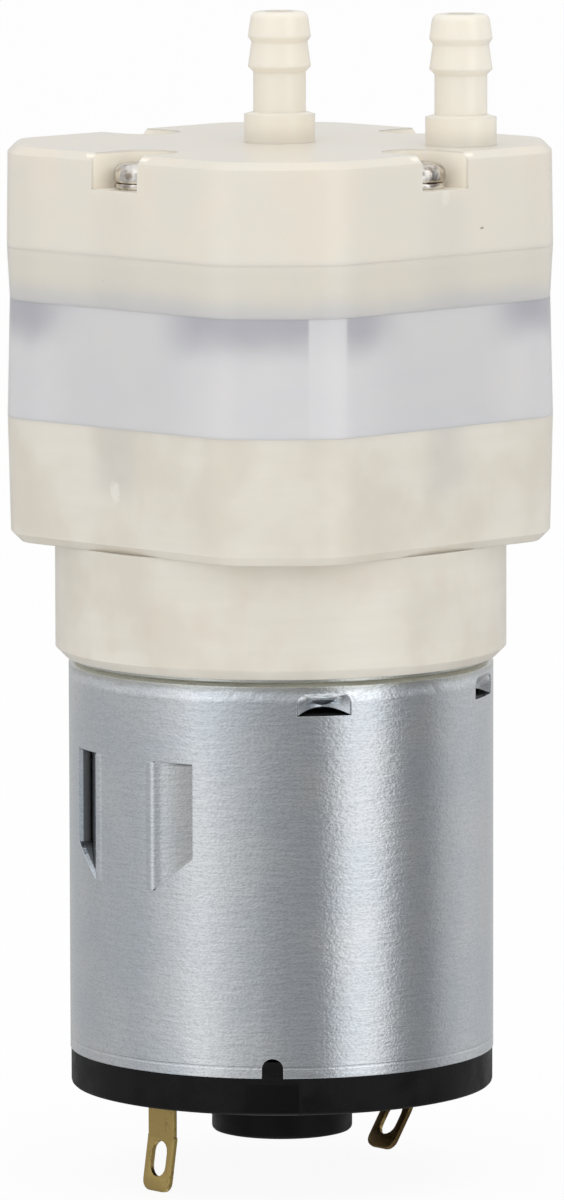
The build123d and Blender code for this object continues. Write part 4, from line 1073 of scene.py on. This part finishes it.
class PUMP_OT_studio(PumpOperator, Operator):
    """Set up the floor, the soft lamps, the pale background and the camera"""

    bl_idname = "pump.studio"
    bl_label = "Studio"

    def execute(self, context):
        self.make_floor()
        self.make_lamps()
        self.make_background()
        self.make_camera()
        context.scene.view_settings.view_transform = "Standard"
        return {"FINISHED"}

    def make_floor(self):
        half = self.sizes.floor_width / 2
        height = CAD_BOX[0].z
        mesh = bmesh.new()
        corners = ((-half, -half), (half, -half), (half, half), (-half, half))
        mesh.faces.new([mesh.verts.new((x, y, height)) for x, y in corners])
        floor = smooth_piece("floor", mesh)
        floor.visible_glossy = False
        finish = Finish("pale_floor", Roughness=0.9)
        mottle = finish.noise(40.0)
        finish.feed("Base Color", finish.mix(mottle * 0.1, (0.92, 0.92, 0.92), (0.88, 0.88, 0.88)))
        glow = finish.node("Emission", sockets={0: (*self.colours.backdrop, 1), 1: 1.0})
        to_camera = finish.node("LightPath", output="Is Camera Ray") * 0.93
        lit = Signal(finish, finish.shader.outputs[0])
        shown = finish.node("MixShader", sockets={0: to_camera, 1: lit, 2: glow})
        surface = finish.tree.nodes["Material Output"].inputs["Surface"]
        finish.tree.links.new(shown.socket, surface)
        floor.data.materials.append(finish.material)

    def make_lamp(self, name, azimuth, elevation, width, height, level):
        """Area lamp of a given brightness that faces the pump from an azimuth right of the camera."""
        lamp = bpy.data.lights.new(name, "AREA")
        lamp.shape = "RECTANGLE"
        lamp.size, lamp.size_y = width, height
        lamp.energy = level * pi * width * height
        turn, rise = radians(azimuth), radians(elevation)
        away = Vector((sin(turn) * cos(rise), -cos(turn) * cos(rise), sin(rise)))
        holder = placed(name, lamp)
        middle = (CAD_BOX[0] + CAD_BOX[1]) / 2
        holder.location = middle + away * self.sizes.light_distance
        holder.rotation_mode = "QUATERNION"
        holder.rotation_quaternion = away.to_track_quat("Z", "Y")
        holder.visible_glossy = False

    def make_lamps(self):
        self.make_lamp("right_softbox", 47, 0, 0.36, 0.9, 0.45)
        self.make_lamp("left_softbox", -50, 0, 0.36, 0.9, 0.35)
        self.make_lamp("front_softbox", 0, 18, 0.5, 0.5, 0.35)
        self.make_lamp("top_softbox", 0, 75, 0.5, 0.5, 0.62)

    def make_background(self):
        """World: even light, a white background, and a room of pale and dark cards for the gloss."""
        world = bpy.data.worlds.new("studio_room")
        bpy.context.scene.world = world
        world.use_nodes = True
        world.node_tree.nodes.clear()
        room = Nodes(world.node_tree)
        across, along, up = room.parts(room.node("TexCoord", output="Generated"))
        turn = room.angle(across, 0 - along) / tau + 0.5
        stops = [((angle + 180) / 360, level) for angle, level in ROOM_CARDS]
        cards = room.node("ValToRGB", {"stops": stops}, {0: turn})
        ceiling = room.step(abs(up), 0.75, 0.92)
        backdrop = self.colours.backdrop
        plain = tuple(channel * ROOM_LIGHT for channel in backdrop)
        reflected = room.mix(ceiling, cards * (up * 0.8 + 1.096), backdrop)
        rays = ("Is Glossy Ray", "Is Camera Ray", "Is Transmission Ray")
        glossy, seen, through = (room.node("LightPath", output=ray) for ray in rays)
        colour = room.mix(glossy, plain, reflected)
        colour = room.mix(seen + through, colour, backdrop)
        shown = room.node("Background", sockets={0: colour})
        output = world.node_tree.nodes.new("ShaderNodeOutputWorld")
        world.node_tree.links.new(shown.socket, output.inputs[0])

    def make_camera(self):
        sizes = self.sizes
        camera = bpy.data.cameras.new("camera")
        camera.lens = sizes.camera_lens
        camera.shift_x = 0.001
        holder = placed("camera", camera)
        holder.location = (0, -sizes.camera_distance, sizes.camera_height)
        pitch = Matrix.Rotation(radians(90) - sizes.camera_pitch, 3, "X")
        roll = Matrix.Rotation(sizes.camera_roll, 3, "Z")
        holder.rotation_mode = "QUATERNION"
        holder.rotation_quaternion = (pitch @ roll).to_quaternion()
        bpy.context.scene.camera = holder


OPERATORS = (
    PUMP_OT_head_shells,
    PUMP_OT_head_screws,
    PUMP_OT_rubber_parts,
    PUMP_OT_wobble_drive,
    PUMP_OT_motor_can,
    PUMP_OT_rotor,
    PUMP_OT_end_cap,
    PUMP_OT_studio,
)


class PUMP_PT_panel(Panel):
    """Lists the pump's operators"""

    bl_idname = "PUMP_PT_panel"
    bl_label = "Vacuum pump"
    bl_space_type = "VIEW_3D"
    bl_region_type = "UI"
    bl_category = "Pump"

    def draw(self, context):
        for operator in OPERATORS:
            self.layout.operator(operator.bl_idname)


CLASSES = (PumpColours, PumpSizes, *OPERATORS, PUMP_PT_panel)


def register():
    for item in CLASSES:
        bpy.utils.register_class(item)
    bpy.types.Scene.pump_colours = PointerProperty(type=PumpColours)
    bpy.types.Scene.pump_sizes = PointerProperty(type=PumpSizes)


def unregister():
    del bpy.types.Scene.pump_sizes
    del bpy.types.Scene.pump_colours
    for item in reversed(CLASSES):
        bpy.utils.unregister_class(item)


def main():
    register()
    for operator in OPERATORS:
        group, name = operator.bl_idname.split(".")
        getattr(getattr(bpy.ops, group), name)()


if __name__ == "__main__":
    main()
